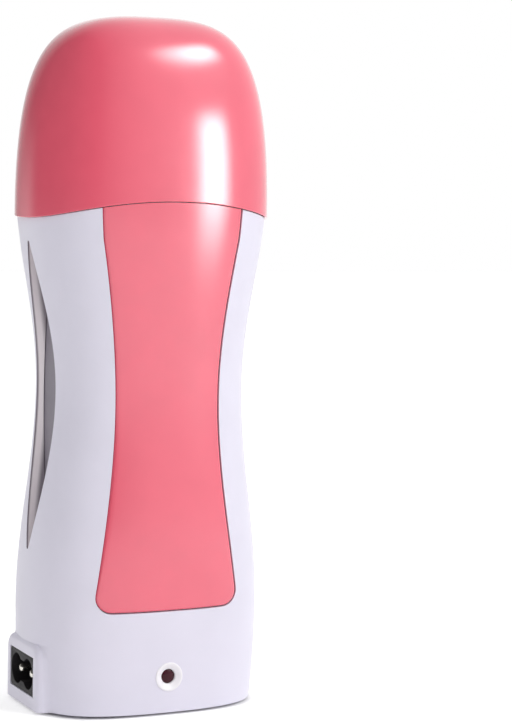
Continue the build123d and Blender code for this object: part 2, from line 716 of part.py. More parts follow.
def socket_pins():
    """Two round pins, with tails bent down into the board."""
    pins = []
    for side in (-1, 1):
        y = side * PIN_SPACING / 2
        tip = (HOUSING_FACE_X + PIN_RECESS, y, INLET_Z)
        floor = (HOUSING_FACE_X + INLET_DEPTH, y, INLET_Z)
        end_x = HOUSING_BACK_X + TAIL_LENGTH
        pin = rod(tip, floor, PIN_DIAMETER)
        pin = chamfer(pin.edges().sort_by(Axis.X)[0], PIN_DIAMETER / 6)
        pin += rod(floor, (HOUSING_BACK_X, y, INLET_Z), PIN_ROOT)
        tail = rod((HOUSING_BACK_X, y, INLET_Z), (end_x, y, INLET_Z), TAIL_DIAMETER)
        tail += Pos(end_x, y, INLET_Z) * Sphere(TAIL_DIAMETER / 2)
        tail += rod((end_x, y, INLET_Z), (end_x, y, BOARD_Z), TAIL_DIAMETER)
        pins.append(pin + tail)
    return pins


def board_screw_places():
    return [(sx * BOARD_SCREW_X, sy * BOARD_SCREW_Y) for sx in (-1, 1) for sy in (-1, 1)]


def control_board():
    board = block(
        (BOARD_LEFT_X, -BOARD_DEPTH / 2, BOARD_Z), (BOARD_RIGHT_X, BOARD_DEPTH / 2, BOARD_TOP_Z)
    )
    board = fillet(board.edges().filter_by(Axis.Z), 1.5)
    for x, y in board_screw_places():
        board -= rod((x, y, 0), (x, y, HIP_Z), BOARD_SCREW_DIAMETER)
    for side in (-1, 1):
        x = HOUSING_BACK_X + TAIL_LENGTH
        y = side * PIN_SPACING / 2
        board -= rod((x, y, 0), (x, y, HIP_Z), TAIL_DIAMETER)
    return board


def screw(x, y, seat, shank, diameter, head, up):
    """Pan-head screw: its head stands on seat, up is 1 for a head on top."""
    body = rod((x, y, seat), (x, y, seat - up * shank), diameter)
    return body + rod((x, y, seat), (x, y, seat + up * HEAD_THICKNESS), head)


def board_screws():
    shank = BOARD_TOP_Z - CASING_FOOT_Z - HEAD_THICKNESS
    return [
        screw(x, y, BOARD_TOP_Z, shank, BOARD_SCREW_DIAMETER, BOARD_SCREW_HEAD, 1)
        for x, y in board_screw_places()
    ]


def base_screws():
    seat = CASING_FOOT_Z + FOOT_SINK
    return [
        screw(sx * BASE_SCREW_X, sy * BASE_SCREW_Y, seat, SCREW_LENGTH, SCREW_DIAMETER, SCREW_HEAD, -1)
        for sx in (-1, 1)
        for sy in (-1, 1)
    ]


def foot_places():
    return [(sx * FOOT_X, sy * FOOT_Y) for sx in (-1, 1) for sy in (-1, 1)]


def base_plate():
    """Plate that closes the casing from below, with seats for feet, screws and board."""
    a, b = body_half(CASING_FOOT_Z)
    inset = CASING_WALL + PLATE_GAP
    plate = extrude(section((a - inset, b - inset), CASING_FOOT_Z), PLATE_THICKNESS)
    plate -= block(
        (2 * BOSS_FACE_X, -BOSS_WIDTH / 2 - PLATE_GAP, 0),
        (BOSS_BACK_X + PLATE_GAP, BOSS_WIDTH / 2 + PLATE_GAP, BOSS_TOP_Z),
    )
    seat = CASING_FOOT_Z + FOOT_SINK
    for x, y in board_screw_places():
        plate += rod((x, y, PLATE_TOP_Z), (x, y, BOARD_Z), BOARD_POST)
        plate -= rod((x, y, CASING_FOOT_Z + HEAD_THICKNESS), (x, y, HIP_Z), BOARD_SCREW_DIAMETER)
    for x, y in foot_places():
        plate -= rod((x, y, 0), (x, y, seat), FOOT_DIAMETER + 2 * FIT)
    for sx in (-1, 1):
        for sy in (-1, 1):
            x = sx * BASE_SCREW_X
            y = sy * BASE_SCREW_Y
            plate -= rod((x, y, 0), (x, y, HIP_Z), SCREW_DIAMETER + 2 * FIT)
            plate -= rod((x, y, 0), (x, y, seat), SCREW_HEAD + 4 * FIT)
    return plate


def rubber_feet():
    top = CASING_FOOT_Z + FOOT_SINK
    feet = []
    for x, y in foot_places():
        foot = rod((x, y, 0), (x, y, top), FOOT_DIAMETER)
        feet.append(fillet(foot.edges().sort_by(Axis.Z)[0], CASING_FOOT_Z / 2))
    return feet


def dropper_capacitor():
    width, depth, height = CAPACITOR
    body = block(
        (CAPACITOR_X - width / 2, -depth / 2, BOARD_TOP_Z),
        (CAPACITOR_X + width / 2, depth / 2, BOARD_TOP_Z + height),
    )
    return fillet(body.edges().filter_by(Axis.Z) + body.faces().sort_by(Axis.Z)[-1].edges(), 0.8)


def axial_part(y, length, diameter):
    """Round component that lies on the board, with its leads bent down."""
    z = BOARD_TOP_Z + diameter / 2
    reach = length / 2 + LEAD_REACH
    body = rod((-length / 2, y, z), (length / 2, y, z), diameter)
    body += rod((-reach, y, z), (reach, y, z), PART_LEAD)
    for side in (-1, 1):
        body += Pos(side * reach, y, z) * Sphere(PART_LEAD / 2)
        body += rod((side * reach, y, z), (side * reach, y, BOARD_TOP_Z), PART_LEAD)
    return body


def indicator_led():
    """LED that lies behind its lens, on leads bent down to the board."""
    front = front_y(LED_Z) - BEZEL_PROUD + BEZEL_LENGTH
    back = front + LED_LENGTH
    bulb = rod((0, front + LED_DIAMETER / 2, LED_Z), (0, back, LED_Z), LED_DIAMETER)
    bulb += Pos(0, front + LED_DIAMETER / 2, LED_Z) * Sphere(LED_DIAMETER / 2)
    bulb += rod((0, back - 1, LED_Z), (0, back, LED_Z), LED_DIAMETER + 0.6)
    bend = -BOARD_DEPTH / 2 + LED_PITCH / 2
    for side in (-1, 1):
        x = side * LED_PITCH / 2
        bulb += rod((x, back - LED_LEAD, LED_Z), (x, bend, LED_Z), LED_LEAD)
        bulb += Pos(x, bend, LED_Z) * Sphere(LED_LEAD / 2)
        bulb += rod((x, bend, LED_Z), (x, bend, BOARD_TOP_Z), LED_LEAD)
    return bulb


def led_bezel():
    """White ring with a countersunk mouth."""
    face = front_y(LED_Z) - BEZEL_PROUD
    ring = rod((0, face, LED_Z), (0, face + BEZEL_RIM, LED_Z), BEZEL_DIAMETER)
    ring += rod((0, face, LED_Z), (0, face + BEZEL_LENGTH, LED_Z), BEZEL_SLEEVE)
    ring -= rod((0, face - 1, LED_Z), (0, 0, LED_Z), LENS_DIAMETER)
    sink = BEZEL_PROUD + LENS_RECESS
    cone = Cone(BEZEL_MOUTH / 2, LENS_DIAMETER / 2, sink, align=(Align.CENTER, Align.CENTER, Align.MIN))
    ring -= Plane(origin=(0, face, LED_Z), z_dir=(0, 1, 0)) * cone
    return ring


def led_lens():
    """Lens with a crowned face, seated in the bezel."""
    face = front_y(LED_Z) + LENS_RECESS
    back = front_y(LED_Z) - BEZEL_PROUD + BEZEL_LENGTH
    lens = rod((0, face, LED_Z), (0, back, LED_Z), LENS_DIAMETER)
    return fillet(lens.edges().sort_by(Axis.Y)[0], LENS_DIAMETER / 8)


def wire(points, radii):
    """Insulated lead along straight runs joined by arcs."""
    path = FilletPolyline(*points, radius=radii)
    start = Plane(origin=path @ 0, z_dir=path % 0)
    return sweep(start * Circle(WIRE_DIAMETER / 2), path)


def terminal_route(side, start):
    """Points from start up behind the liner to one of the element's solder tabs."""
    y = (PLATE_REAR_Y + PTC_REAR_Y) / 2
    tab_z = PTC_LOW_Z - TERMINAL_LENGTH
    outer_y = PLATE_REAR_Y + WIRE_DIAMETER
    x = side * LEAD_X
    return start + [
        (x, outer_y, LINER_FLOOR_Z - LEDGE_THICKNESS),
        (x, outer_y, tab_z - 8),
        (side * TERMINAL_X, y, tab_z - 3),
        (side * TERMINAL_X, y, tab_z),
    ]


def ptc_live_lead():
    """From the thermostat's left lead, round the liner's edge, to the element."""
    y = LINER_Y - THERMOSTAT[1] / 2
    start = [
        (-SENSOR_LEAD_X, y, THERMOSTAT_Z + PART_LEAD / 2),
        (-SENSOR_LEAD_X, y, THERMOSTAT_Z + 3),
    ]
    return wire(terminal_route(-1, start), 2.0)


def neutral_lead():
    """From the board to the element's other tab."""
    start = [(LEAD_X, LEAD_RISE_Y, BOARD_TOP_Z), (LEAD_X, LEAD_RISE_Y, FUSE_Z)]
    return wire(terminal_route(1, start), 4.0)


def link_lead():
    """Joins thermal fuse and thermostat in series."""
    y = LINER_Y - THERMOSTAT[1] / 2
    low = (SENSOR_LEAD_X, LINER_Y - FUSE_DIAMETER / 2, FUSE_Z + PART_LEAD / 2)
    return rod(low, (SENSOR_LEAD_X, y, THERMOSTAT_Z - PART_LEAD / 2), WIRE_DIAMETER)


def live_lead():
    """From the board up to the thermal fuse."""
    y = LINER_Y - FUSE_DIAMETER / 2
    points = [
        (-SENSOR_LEAD_X, LIVE_RISE_Y, BOARD_TOP_Z),
        (-SENSOR_LEAD_X, LIVE_RISE_Y, BOARD_TOP_Z + 6),
        (-SENSOR_LEAD_X, y, FUSE_Z - 6),
        (-SENSOR_LEAD_X, y, FUSE_Z - PART_LEAD / 2),
    ]
    return wire(points, 3.0)


whole = casing()
save(cap_shell(), "cap_shell")
save(front_casing(whole), "front_casing")
save(rear_casing(whole), "rear_casing")
save(front_inlay(), "front_inlay")
save(neck_collar(), "neck_collar")
save(well_liner(), "well_liner")
save(pressure_spring(), "pressure_spring")
save(heater_plate(), "heater_plate")
save(ptc_element(), "ptc_element")
save(ptc_insulator(), "ptc_insulator")
save(ptc_strap(), "ptc_strap")
save(Compound(ptc_strap_screws()), "ptc_strap_screws")
save(thermostat(), "thermostat")
save(thermal_fuse(), "thermal_fuse")
save(sensor_strap(), "sensor_strap")
save(Compound(sensor_rivets()), "sensor_rivets")
save(socket_housing(), "socket_housing")
save(Compound(socket_pins()), "socket_pins")
save(control_board(), "control_board")
save(Compound(board_screws()), "board_screws")
save(dropper_capacitor(), "dropper_capacitor")
save(Compound([axial_part(y, RESISTOR_LENGTH, RESISTOR_DIAMETER) for y in RESISTOR_Y]), "resistors")
save(axial_part(DIODE_Y, DIODE_LENGTH, DIODE_DIAMETER), "diode")
save(indicator_led(), "indicator_led")
save(led_bezel(), "led_bezel")
save(led_lens(), "led_lens")
save(base_plate(), "base_plate")
save(Compound(base_screws()), "base_screws")
save(Compound(rubber_feet()), "rubber_feet")
save(live_lead(), "live_lead")
save(link_lead(), "link_lead")
save(ptc_live_lead(), "ptc_live_lead")
save(neutral_lead(), "neutral_lead")
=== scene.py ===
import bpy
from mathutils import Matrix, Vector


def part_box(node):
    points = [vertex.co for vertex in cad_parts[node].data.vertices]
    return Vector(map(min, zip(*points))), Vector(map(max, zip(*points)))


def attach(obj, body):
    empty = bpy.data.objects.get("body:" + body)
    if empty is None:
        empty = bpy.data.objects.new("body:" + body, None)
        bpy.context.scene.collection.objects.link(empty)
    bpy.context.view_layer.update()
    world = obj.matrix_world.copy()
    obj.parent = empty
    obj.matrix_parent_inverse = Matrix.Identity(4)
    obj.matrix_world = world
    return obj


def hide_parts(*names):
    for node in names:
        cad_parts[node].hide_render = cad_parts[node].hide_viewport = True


bl_info = {
    "name": "Roll-on Wax Heater",
    "version": (1, 0, 0),
    "blender": (4, 5, 0),
    "location": "3D View > Sidebar > Wax Heater",
    "description": "Moulded shells, finishes, floor and light for the roll-on wax heater",
    "category": "Object",
}

import math

import bmesh
import bpy
from mathutils import Matrix, Quaternion, Vector

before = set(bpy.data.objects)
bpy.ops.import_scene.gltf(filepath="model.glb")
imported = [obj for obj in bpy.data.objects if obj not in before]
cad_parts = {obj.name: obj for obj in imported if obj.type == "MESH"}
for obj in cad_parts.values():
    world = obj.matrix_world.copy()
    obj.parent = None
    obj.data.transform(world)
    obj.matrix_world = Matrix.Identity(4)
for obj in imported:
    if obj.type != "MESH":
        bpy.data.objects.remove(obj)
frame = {"nodes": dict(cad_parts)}

MM = 0.001
CASING_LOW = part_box("rear_casing")[0]
CAP_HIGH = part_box("cap_shell")[1]
PLATE_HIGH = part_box("base_plate")[1]
LINER_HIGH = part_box("well_liner")[1]
BEZEL_LOW, BEZEL_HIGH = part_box("led_bezel")
LAMP_Z = (BEZEL_LOW.z + BEZEL_HIGH.z) / 2


# ---------------------------------------------------------------- sizes and colours

def length(name, description, default):
    """Property that holds a size."""
    return bpy.props.FloatProperty(
        name=name, description=description, default=default, unit="LENGTH", precision=5
    )


def colour(name, description, default):
    """Property that holds a colour."""
    return bpy.props.FloatVectorProperty(
        name=name, description=description, default=default, subtype="COLOR", size=3, min=0, max=1
    )


class HeaterColours(bpy.types.PropertyGroup):
    """Colours of the visible finishes."""

    pink: colour("Pink", "Glossy plastic of cap and inlay", (0.88, 0.112, 0.178))
    white: colour("White", "Satin plastic of the casing", (0.79, 0.765, 0.88))
    bezel: colour("Bezel", "Ring round the indicator", (0.92, 0.90, 0.94))
    liner: colour("Liner", "Frosted plastic of the well", (0.25, 0.225, 0.27))
    # painted shade: this dark tone stands in for the shade deep in the window, between its edge and
    # the well
    frame: colour("Window frame", "Dark skirt between the window and the well", (0.27, 0.235, 0.275))
    # painted light: this tone, lighter than the casing's white, stands in for the lit rear wall of the
    # window
    band: colour("Window band", "Light stretch of that skirt near its edge", (0.90, 0.83, 0.87))
    socket: colour("Socket", "Plastic of the mains inlet", (0.012, 0.010, 0.012))
    lens: colour("Lens", "Clear tinted indicator lens", (0.070, 0.003, 0.015))
    floor: colour("Floor", "Floor and backdrop", (0.93, 0.93, 0.93))


class HeaterForm(bpy.types.PropertyGroup):
    """Sizes of the moulded shells."""

    fullness: bpy.props.FloatProperty(
        name="Fullness", description="How square the level sections are", default=0.75, min=0.5, max=1
    )
    waist_x: length("Waist half width", "Half width at the waist", 28.5 * MM)
    waist_y: length("Waist half depth", "Half depth at the waist", 22.2 * MM)
    hip_x: length("Hip half width", "Half width at the hip", 33.6 * MM)
    hip_y: length("Hip half depth", "Half depth at the hip", 24.7 * MM)
    base_x: length("Base half width", "Half width at the foot", 32.2 * MM)
    base_y: length("Base half depth", "Half depth at the foot", 24.3 * MM)
    hip_z: length("Hip height", "Height of the widest place of the hip", 28 * MM)
    waist_z: length("Waist height", "Height of the narrowest place", 89 * MM)
    rim_z: length("Rim height", "Height at which the sides are upright again", 148 * MM)
    wall: length("Wall", "Thickness of casing and cap", 2.2 * MM)
    liner_lip: length("Liner lip", "Reach of the well's lip", 1.5 * MM)
    largest_round: length("Largest rounding", "The casing's roundings are shares of this", 0.6 * MM)
    rim_round: length("Rim rounding", "Edges of cap and casing at their joint", 0.25 * MM)
    seam_round: length("Seam rounding", "Edges of the joint between the casing halves", 0.05 * MM)
    parting_z: length("Parting height", "Height of the cap's edge at the front", 140.5 * MM)
    parting_radius: length("Parting radius", "Radius of the cap's arched edge", 125 * MM)
    parting_gap: length("Parting gap", "Gap between cap and casing", 0.2 * MM)
    cap_proud: length("Cap proud", "How far the cap stands outside the casing", 0.1 * MM)
    crown_height: length("Crown height", "From the cap's upright rim to its top", 54 * MM)
    crown_pull: bpy.props.FloatProperty(
        name="Crown pull", description="How far the level top holds", default=0.62, min=0, max=1
    )
    shoulder_drop: length("Shoulder drop", "How far the shoulder lies below the top", 1.0 * MM)
    inlay_thickness: length("Inlay thickness", "Thickness of the front panel", 1.2 * MM)
    inlay_gap: length("Inlay gap", "Gap round the front panel", 0.26 * MM)
    inlay_low: length("Inlay low edge", "Height of its lower edge", 29 * MM)
    inlay_waist_z: length("Inlay waist height", "Height of its narrowest place", 86 * MM)
    inlay_high: length("Inlay high end", "Height at which its sides end", 144 * MM)
    inlay_bottom: length("Inlay bottom half width", "Half width at the lower edge", 21.5 * MM)
    inlay_waist: length("Inlay waist half width", "Half width at its waist", 15.2 * MM)
    inlay_top: length("Inlay top half width", "Half width at its high end", 22.5 * MM)
    inlay_corner: length("Inlay corner", "Radius of its lower corners", 4.3 * MM)
    inlay_low_slope: bpy.props.FloatProperty(
        name="Inlay low slope", description="Slope of its sides at the bottom", default=-0.144
    )
    inlay_high_slope: bpy.props.FloatProperty(
        name="Inlay high slope", description="Slope of its sides at the top", default=0.185
    )
    inlay_round: length("Inlay rounding", "Rounding of the panel's edge", 0.65 * MM)
    recess_round: length("Recess rounding", "Rounding of the recess round the panel", 0.6 * MM)
    window_height: length("Window height", "Between the points of its arcs", 88.4 * MM)
    window_width: length("Window width", "Width at its middle", 15 * MM)
    window_z: length("Window middle", "Height of its middle", 86.6 * MM)
    window_tip: length("Window tip", "Rounding of its two ends", 0.7 * MM)
    window_round: length("Window rounding", "Rounding of its outer edge", 0.3 * MM)
    frame_wall: length("Window frame", "Thickness of the wall round the window", 1.2 * MM)
    frame_slope: bpy.props.FloatProperty(
        name="Window frame slope", description="How much narrower it is at the well", default=0.2
    )
    window_lip: length("Window lip", "Thickness of the casing at the window's ends", 0.9 * MM)
    frame_gap: length("Window frame gap", "Gap between that wall and the well", 0.2 * MM)
    socket_width: length("Socket width", "Width of the hole for the socket", 18.6 * MM)
    socket_low: length("Socket low edge", "Lower edge of that hole", 4.3 * MM)
    socket_high: length("Socket high edge", "Upper edge of that hole", 15.3 * MM)
    boss_face: length("Boss face", "Distance of the boss's face from the middle", 34 * MM)
    boss_width: length("Boss width", "Width of the boss", 25.4 * MM)
    boss_top: length("Boss top", "Height of the boss", 18.8 * MM)
    boss_corner: length("Boss corner", "Radius of its upper corners", 4 * MM)
    boss_round: length("Boss rounding", "Rounding round its face", 1.6 * MM)
    boss_fillet: length("Boss fillet", "Hollow rounding where it meets the body", 1.6 * MM)


# ---------------------------------------------------------------- materials

NOISE_RANGE = (0.3, 0.7)      # where most of a noise's values lie
CLOUD_RANGE = (0.35, 0.65)    # where a colour cloud moves from one tone to the other
SHEEN_SHARE = 4               # how much finer the uneven sheen is than the colour clouds
HAIRLINE_SCALE = 900          # features per metre
HAIRLINE_STRETCH = (1, 1, 0.03)
HAIRLINE_RANGE = (0.66, 0.72)
HAIRLINE_ROUGHNESS = 0.012
GRAIN_STRENGTH = 0.25
TINNED = (0.74, 0.73, 0.70)   # tone of leads and tabs


def node_material(name):
    """Empty node material with its tree and a Principled shader."""
    material = bpy.data.materials.new(name)
    material.use_nodes = True
    tree = material.node_tree
    return material, tree, tree.nodes["Principled BSDF"]


def add(tree, kind, **values):
    """New shader node, with its sockets and settings filled in by name."""
    node = tree.nodes.new(kind)
    for key, value in values.items():
        if key in node.inputs:
            node.inputs[key].default_value = value
        else:
            setattr(node, key, value)
    return node


def tune(shader, values):
    """Sets sockets of a shader by name."""
    for name, value in values.items():
        shader.inputs[name].default_value = value


def object_noise(tree, scale, detail=3.0, stretch=(1, 1, 1)):
    """Noise over the object's own coordinates, scale in features per metre."""
    place = add(tree, "ShaderNodeTexCoord")
    turn = add(tree, "ShaderNodeMapping", Scale=stretch)
    noise = add(tree, "ShaderNodeTexNoise", Scale=scale, Detail=detail)
    tree.links.new(place.outputs["Object"], turn.inputs["Vector"])
    tree.links.new(turn.outputs["Vector"], noise.inputs["Vector"])
    return noise.outputs["Fac"]


def remap(tree, source, before, after):
    """Maps one range of values onto another, and stays inside it."""
    change = add(tree, "ShaderNodeMapRange")
    ends = {"From Min": before[0], "From Max": before[1], "To Min": after[0], "To Max": after[1]}
    tune(change, ends)
    tree.links.new(source, change.inputs["Value"])
    return change.outputs["Result"]


def maths(tree, operation, first, second):
    """Result of a sum of two values; the second may be a plain number."""
    node = add(tree, "ShaderNodeMath", operation=operation)
    tree.links.new(first, node.inputs[0])
    if isinstance(second, (int, float)):
        node.inputs[1].default_value = second
    else:
        tree.links.new(second, node.inputs[1])
    return node.outputs["Value"]


def tint(tree, source, first, second):
    """Colour that moves between two tones with the source."""
    ramp = add(tree, "ShaderNodeValToRGB")
    for element, position, tone in zip(ramp.color_ramp.elements, CLOUD_RANGE, (first, second)):
        element.position = position
        element.color = (*tone, 1)
    tree.links.new(source, ramp.inputs["Fac"])
    return ramp.outputs["Color"]


def darker(tone, share):
    """Tone with a share of its light taken away."""
    return tuple(channel * (1 - share) for channel in tone)


def object_axis(tree, axis):
    """One of the object's own coordinates."""
    split = add(tree, "ShaderNodeSeparateXYZ")
    tree.links.new(add(tree, "ShaderNodeTexCoord").outputs["Object"], split.inputs["Vector"])
    return split.outputs[axis]


def away(tree, axis, centre=0.0):
    """Distance from a centre along one of the object's own axes."""
    offset = maths(tree, "SUBTRACT", object_axis(tree, axis), centre)
    return maths(tree, "ABSOLUTE", offset, 0)


def beyond(tree, source, limit, soft=0.05 * MM):
    """Mask that is 1 where the source is larger than a limit."""
    return remap(tree, source, (limit - soft, limit + soft), (0, 1))


def band(tree, centre, half, soft=0.04 * MM):
    """Mask that is 1 in a ring round a lying component, closer to a centre than half."""
    return remap(tree, away(tree, "X", centre), (half - soft, half + soft), (1, 0))


def moulded(name, tone, clouding, roughness, grain, blotch=60, metallic=0.0, stretch=(1, 1, 1)):
    """Moulded or coated surface: colour clouds, uneven sheen, a fine grain and faint hairlines.

    Clouding is how much darker the clouds are, and blotch their features per metre. Roughness is
    its lowest and highest value, and grain its features per metre and its height.
    """
    tree, shader = node_material(name)[1:]
    clouds = object_noise(tree, blotch, stretch=stretch)
    tree.links.new(tint(tree, clouds, darker(tone, clouding), tone), shader.inputs["Base Color"])
    sheen = remap(tree, object_noise(tree, blotch * SHEEN_SHARE, 5, stretch), NOISE_RANGE, roughness)
    lines = object_noise(tree, HAIRLINE_SCALE, 2, HAIRLINE_STRETCH)
    hairlines = remap(tree, lines, HAIRLINE_RANGE, (0, HAIRLINE_ROUGHNESS))
    tree.links.new(maths(tree, "ADD", sheen, hairlines), shader.inputs["Roughness"])
    bump = add(tree, "ShaderNodeBump", Strength=GRAIN_STRENGTH, Distance=grain[1])
    tree.links.new(object_noise(tree, grain[0], 2, stretch), bump.inputs["Height"])
    tree.links.new(bump.outputs["Normal"], shader.inputs["Normal"])
    shader.inputs["Metallic"].default_value = metallic
    return tree, shader


def recolour(tree, shader, mask, tone):
    """Lays a second tone over a finish where the mask is 1."""
    link = shader.inputs["Base Color"].links[0]
    below = link.from_socket
    tree.links.remove(link)
    node = add(tree, "ShaderNodeMix", data_type="RGBA")
    share, first, second = node.inputs[0], node.inputs[6], node.inputs[7]
    tree.links.new(mask, share)
    tree.links.new(below, first)
    second.default_value = (*tone, 1)
    tree.links.new(node.outputs[2], shader.inputs["Base Color"])


def bare_metal(tree, shader, mask):
    """Turns a finish into tinned metal where the mask is 1, as on leads and tabs."""
    recolour(tree, shader, mask, TINNED)
    tree.links.new(mask, shader.inputs["Metallic"])


# ---------------------------------------------------------------- stage

ROOM_LIGHT = 0.68             # strength of the white room
DARK_SIDE = 0.05              # how much of the room a gloss shows on its dark left side
SIDE_TURN = 0.35              # width of the change between the room's two sides
FLOOR_HALF = 3.0              # metres
FLOOR_LIFT = 0.42             # glow of the floor that makes it white where no shadow falls
LIFT_START = (1.0, 1.6)       # where the glow starts, in shares of the base's size
AIM_HEIGHT = 150 * MM         # highest point that the lamps face


class HEATER_OT_stage(bpy.types.Operator):
    """Floor, backdrop, lamps and camera"""

    bl_idname = "heater.stage"
    bl_label = "Floor, light and camera"

    def execute(self, context):
        build_floor(context.scene.heater_colours.floor)
        build_room()
        build_lamps()
        build_camera(context.scene)
        context.scene.view_settings.view_transform = "Standard"
        return {"FINISHED"}


def seen_directly(tree):
    """1 for rays that show a background: from the camera, off a gloss or through glass."""
    path = add(tree, "ShaderNodeLightPath")
    total = path.outputs["Is Camera Ray"]
    for kind in ("Is Glossy Ray", "Is Transmission Ray"):
        total = maths(tree, "ADD", total, path.outputs[kind])
    return total


def open_floor(tree):
    """How much the floor's white is lifted: not at all under the heater."""
    total = None
    for axis, half in (("X", PLATE_HIGH.x), ("Y", PLATE_HIGH.y)):
        share = maths(tree, "DIVIDE", object_axis(tree, axis), half)
        square = maths(tree, "MULTIPLY", share, share)
        power = maths(tree, "MULTIPLY", square, square)
        total = power if total is None else maths(tree, "ADD", total, power)
    return remap(tree, total, LIFT_START, (0, FLOOR_LIFT))


def build_floor(tone):
    """Pale floor that keeps its shadows and looks white where none falls."""
    bm = bmesh.new()
    bmesh.ops.create_grid(bm, x_segments=1, y_segments=1, size=FLOOR_HALF)
    mesh = bpy.data.meshes.new("floor")
    bm.to_mesh(mesh)
    bm.free()
    floor = bpy.data.objects.new("floor", mesh)
    bpy.context.scene.collection.objects.link(floor)
    material, tree, shader = node_material("pale_floor")
    tune(shader, {"Base Color": (*tone, 1), "Roughness": 0.9, "Emission Color": (1, 1, 1, 1)})
    lift = maths(tree, "MULTIPLY", seen_directly(tree), open_floor(tree))
    tree.links.new(lift, shader.inputs["Emission Strength"])
    mesh.materials.append(material)


def build_room():
    """White room, which a gloss shows darker on the left."""
    world = bpy.data.worlds.new("studio")
    bpy.context.scene.world = world
    world.use_nodes = True
    tree = world.node_tree
    plain = tree.nodes["Background"]
    tune(plain, {"Color": (1, 1, 1, 1), "Strength": ROOM_LIGHT})
    path = add(tree, "ShaderNodeLightPath")
    direction = add(tree, "ShaderNodeSeparateXYZ")
    tree.links.new(add(tree, "ShaderNodeTexCoord").outputs["Generated"], direction.inputs["Vector"])
    side = remap(tree, direction.outputs["X"], (-SIDE_TURN, SIDE_TURN), (DARK_SIDE, 1.0))
    mirrored = maths(tree, "MULTIPLY", path.outputs["Is Glossy Ray"], side)
    clear = maths(tree, "ADD", path.outputs["Is Camera Ray"], path.outputs["Is Transmission Ray"])
    white = add(tree, "ShaderNodeBackground", Color=(1, 1, 1, 1))
    tree.links.new(maths(tree, "ADD", mirrored, clear), white.inputs["Strength"])
    shown = add(tree, "ShaderNodeMixShader")
    tree.links.new(seen_directly(tree), shown.inputs["Fac"])
    tree.links.new(plain.outputs["Background"], shown.inputs[1])
    tree.links.new(white.outputs["Background"], shown.inputs[2])
    tree.links.new(shown.outputs["Shader"], tree.nodes["World Output"].inputs["Surface"])


def feather(light, across, up):
    """Fades a lamp towards its edges, over a share of its size at each of the two ends."""
    light.use_nodes = True
    tree = light.node_tree
    split = add(tree, "ShaderNodeSeparateXYZ")
    place = add(tree, "ShaderNodeNewGeometry").outputs["Parametric"]
    tree.links.new(place, split.inputs["Vector"])
    strength = None
    for axis, (first, last) in (("X", across), ("Y", up)):
        for start, end in ((0, first), (1, 1 - last)):
            ramp = add(tree, "ShaderNodeMapRange", interpolation_type="SMOOTHSTEP")
            tune(ramp, {"From Min": start, "From Max": end})
            tree.links.new(split.outputs[axis], ramp.inputs["Value"])
            share = ramp.outputs["Result"]
            strength = share if strength is None else maths(tree, "MULTIPLY", strength, share)
    tree.links.new(strength, tree.nodes["Emission"].inputs["Strength"])


def softbox(name, azimuth, height, distance, size, watts, roll=0, fade=None):
    """Area lamp that faces the heater; azimuth 0 is in front and 90 on the right.

    One with a fade is a card that only a gloss shows, and one without only lights.
    """
    light = bpy.data.lights.new(name, "AREA")
    light.shape = "RECTANGLE"
    light.size, light.size_y = size
    light.energy = watts
    if fade:
        feather(light, *fade)
    lamp = bpy.data.objects.new(name, light)
    turn = math.radians(azimuth)
    lamp.location = Vector((distance * math.sin(turn), -distance * math.cos(turn), height))
    aim = Vector((0, 0, min(height, AIM_HEIGHT))) - lamp.location
    rolled = aim.to_track_quat("-Z", "Y") @ Quaternion((0, 0, 1), math.radians(roll))
    lamp.rotation_euler = rolled.to_euler()
    lamp.visible_camera = False
    lamp.visible_glossy = fade is not None
    lamp.visible_diffuse = fade is None
    bpy.context.scene.collection.objects.link(lamp)


def build_lamps():
    """A key lamp, and cards for the gloss to show."""
    softbox("key", azimuth=42, height=0.85, distance=1.0, size=(0.6, 0.6), watts=6.5)
    strip = ((0.35, 0.55), (0.55, 0.2))
    softbox("tall_strip", 37, height=0.150, distance=0.25, size=(0.100, 0.165), watts=0.72, fade=strip)
    oval = ((0.5, 0.5), (0.5, 0.5))
    softbox("high_oval", 44.5, 0.55, distance=0.42, size=(0.42, 0.23), watts=3.9, roll=12, fade=oval)
    softbox("left_card", -150, 0.10, distance=0.55, size=(0.40, 0.34), watts=0.22, fade=oval)


def build_camera(scene):
    """Camera in front of the heater and to its left, a little above the middle."""
    turn = math.radians(25.039)
    tilt = math.radians(-2.645)
    roll = math.radians(0.983)
    data = bpy.data.cameras.new("camera")
    data.lens = 103.15
    data.sensor_width = 36
    data.sensor_fit = "AUTO"
    data.shift_x = 0.0552
    data.shift_y = -0.0953
    data.clip_start = 0.01
    camera = bpy.data.objects.new("camera", data)
    camera.rotation_mode = "QUATERNION"
    view = Matrix.Rotation(-turn, 3, "Z") @ Matrix.Rotation(math.pi / 2 + tilt, 3, "X")
    view = view @ Matrix.Rotation(roll, 3, "Z")
    camera.rotation_quaternion = view.to_quaternion()
    camera.location = Vector((-0.2278, -0.5383, 0.1422))
    scene.collection.objects.link(camera)
    scene.camera = camera


# ---------------------------------------------------------------- the moulded form

HALVINGS = 30                 # steps of a search between 0 and 1
PARTING_STEPS = 3             # steps towards a point below the parting line


def ease(t):
    """Smooth step from 0 to 1 that starts and ends level."""
    return (1 - math.cos(math.pi * t)) / 2


def mix(first, second, t):
    """Value that lies a share t of the way from the first to the second."""
    return first + (second - first) * t


def between(first, second, t):
    """The same for a pair of values."""
    return tuple(mix(p, q, t) for p, q in zip(first, second))


def bezier(points, t):
    """Value at t of a cubic curve with four control values."""
    a, b, c, d = points
    s = 1 - t
    return a * s**3 + 3 * b * s * s * t + 3 * c * s * t * t + d * t**3


def reached(rising, goal):
    """Place from 0 to 1 at which a rising function reaches its goal."""
    low, high = 0.0, 1.0
    for _ in range(HALVINGS):
        middle = (low + high) / 2
        if rising(middle) < goal:
            low = middle
        else:
            high = middle
    return low


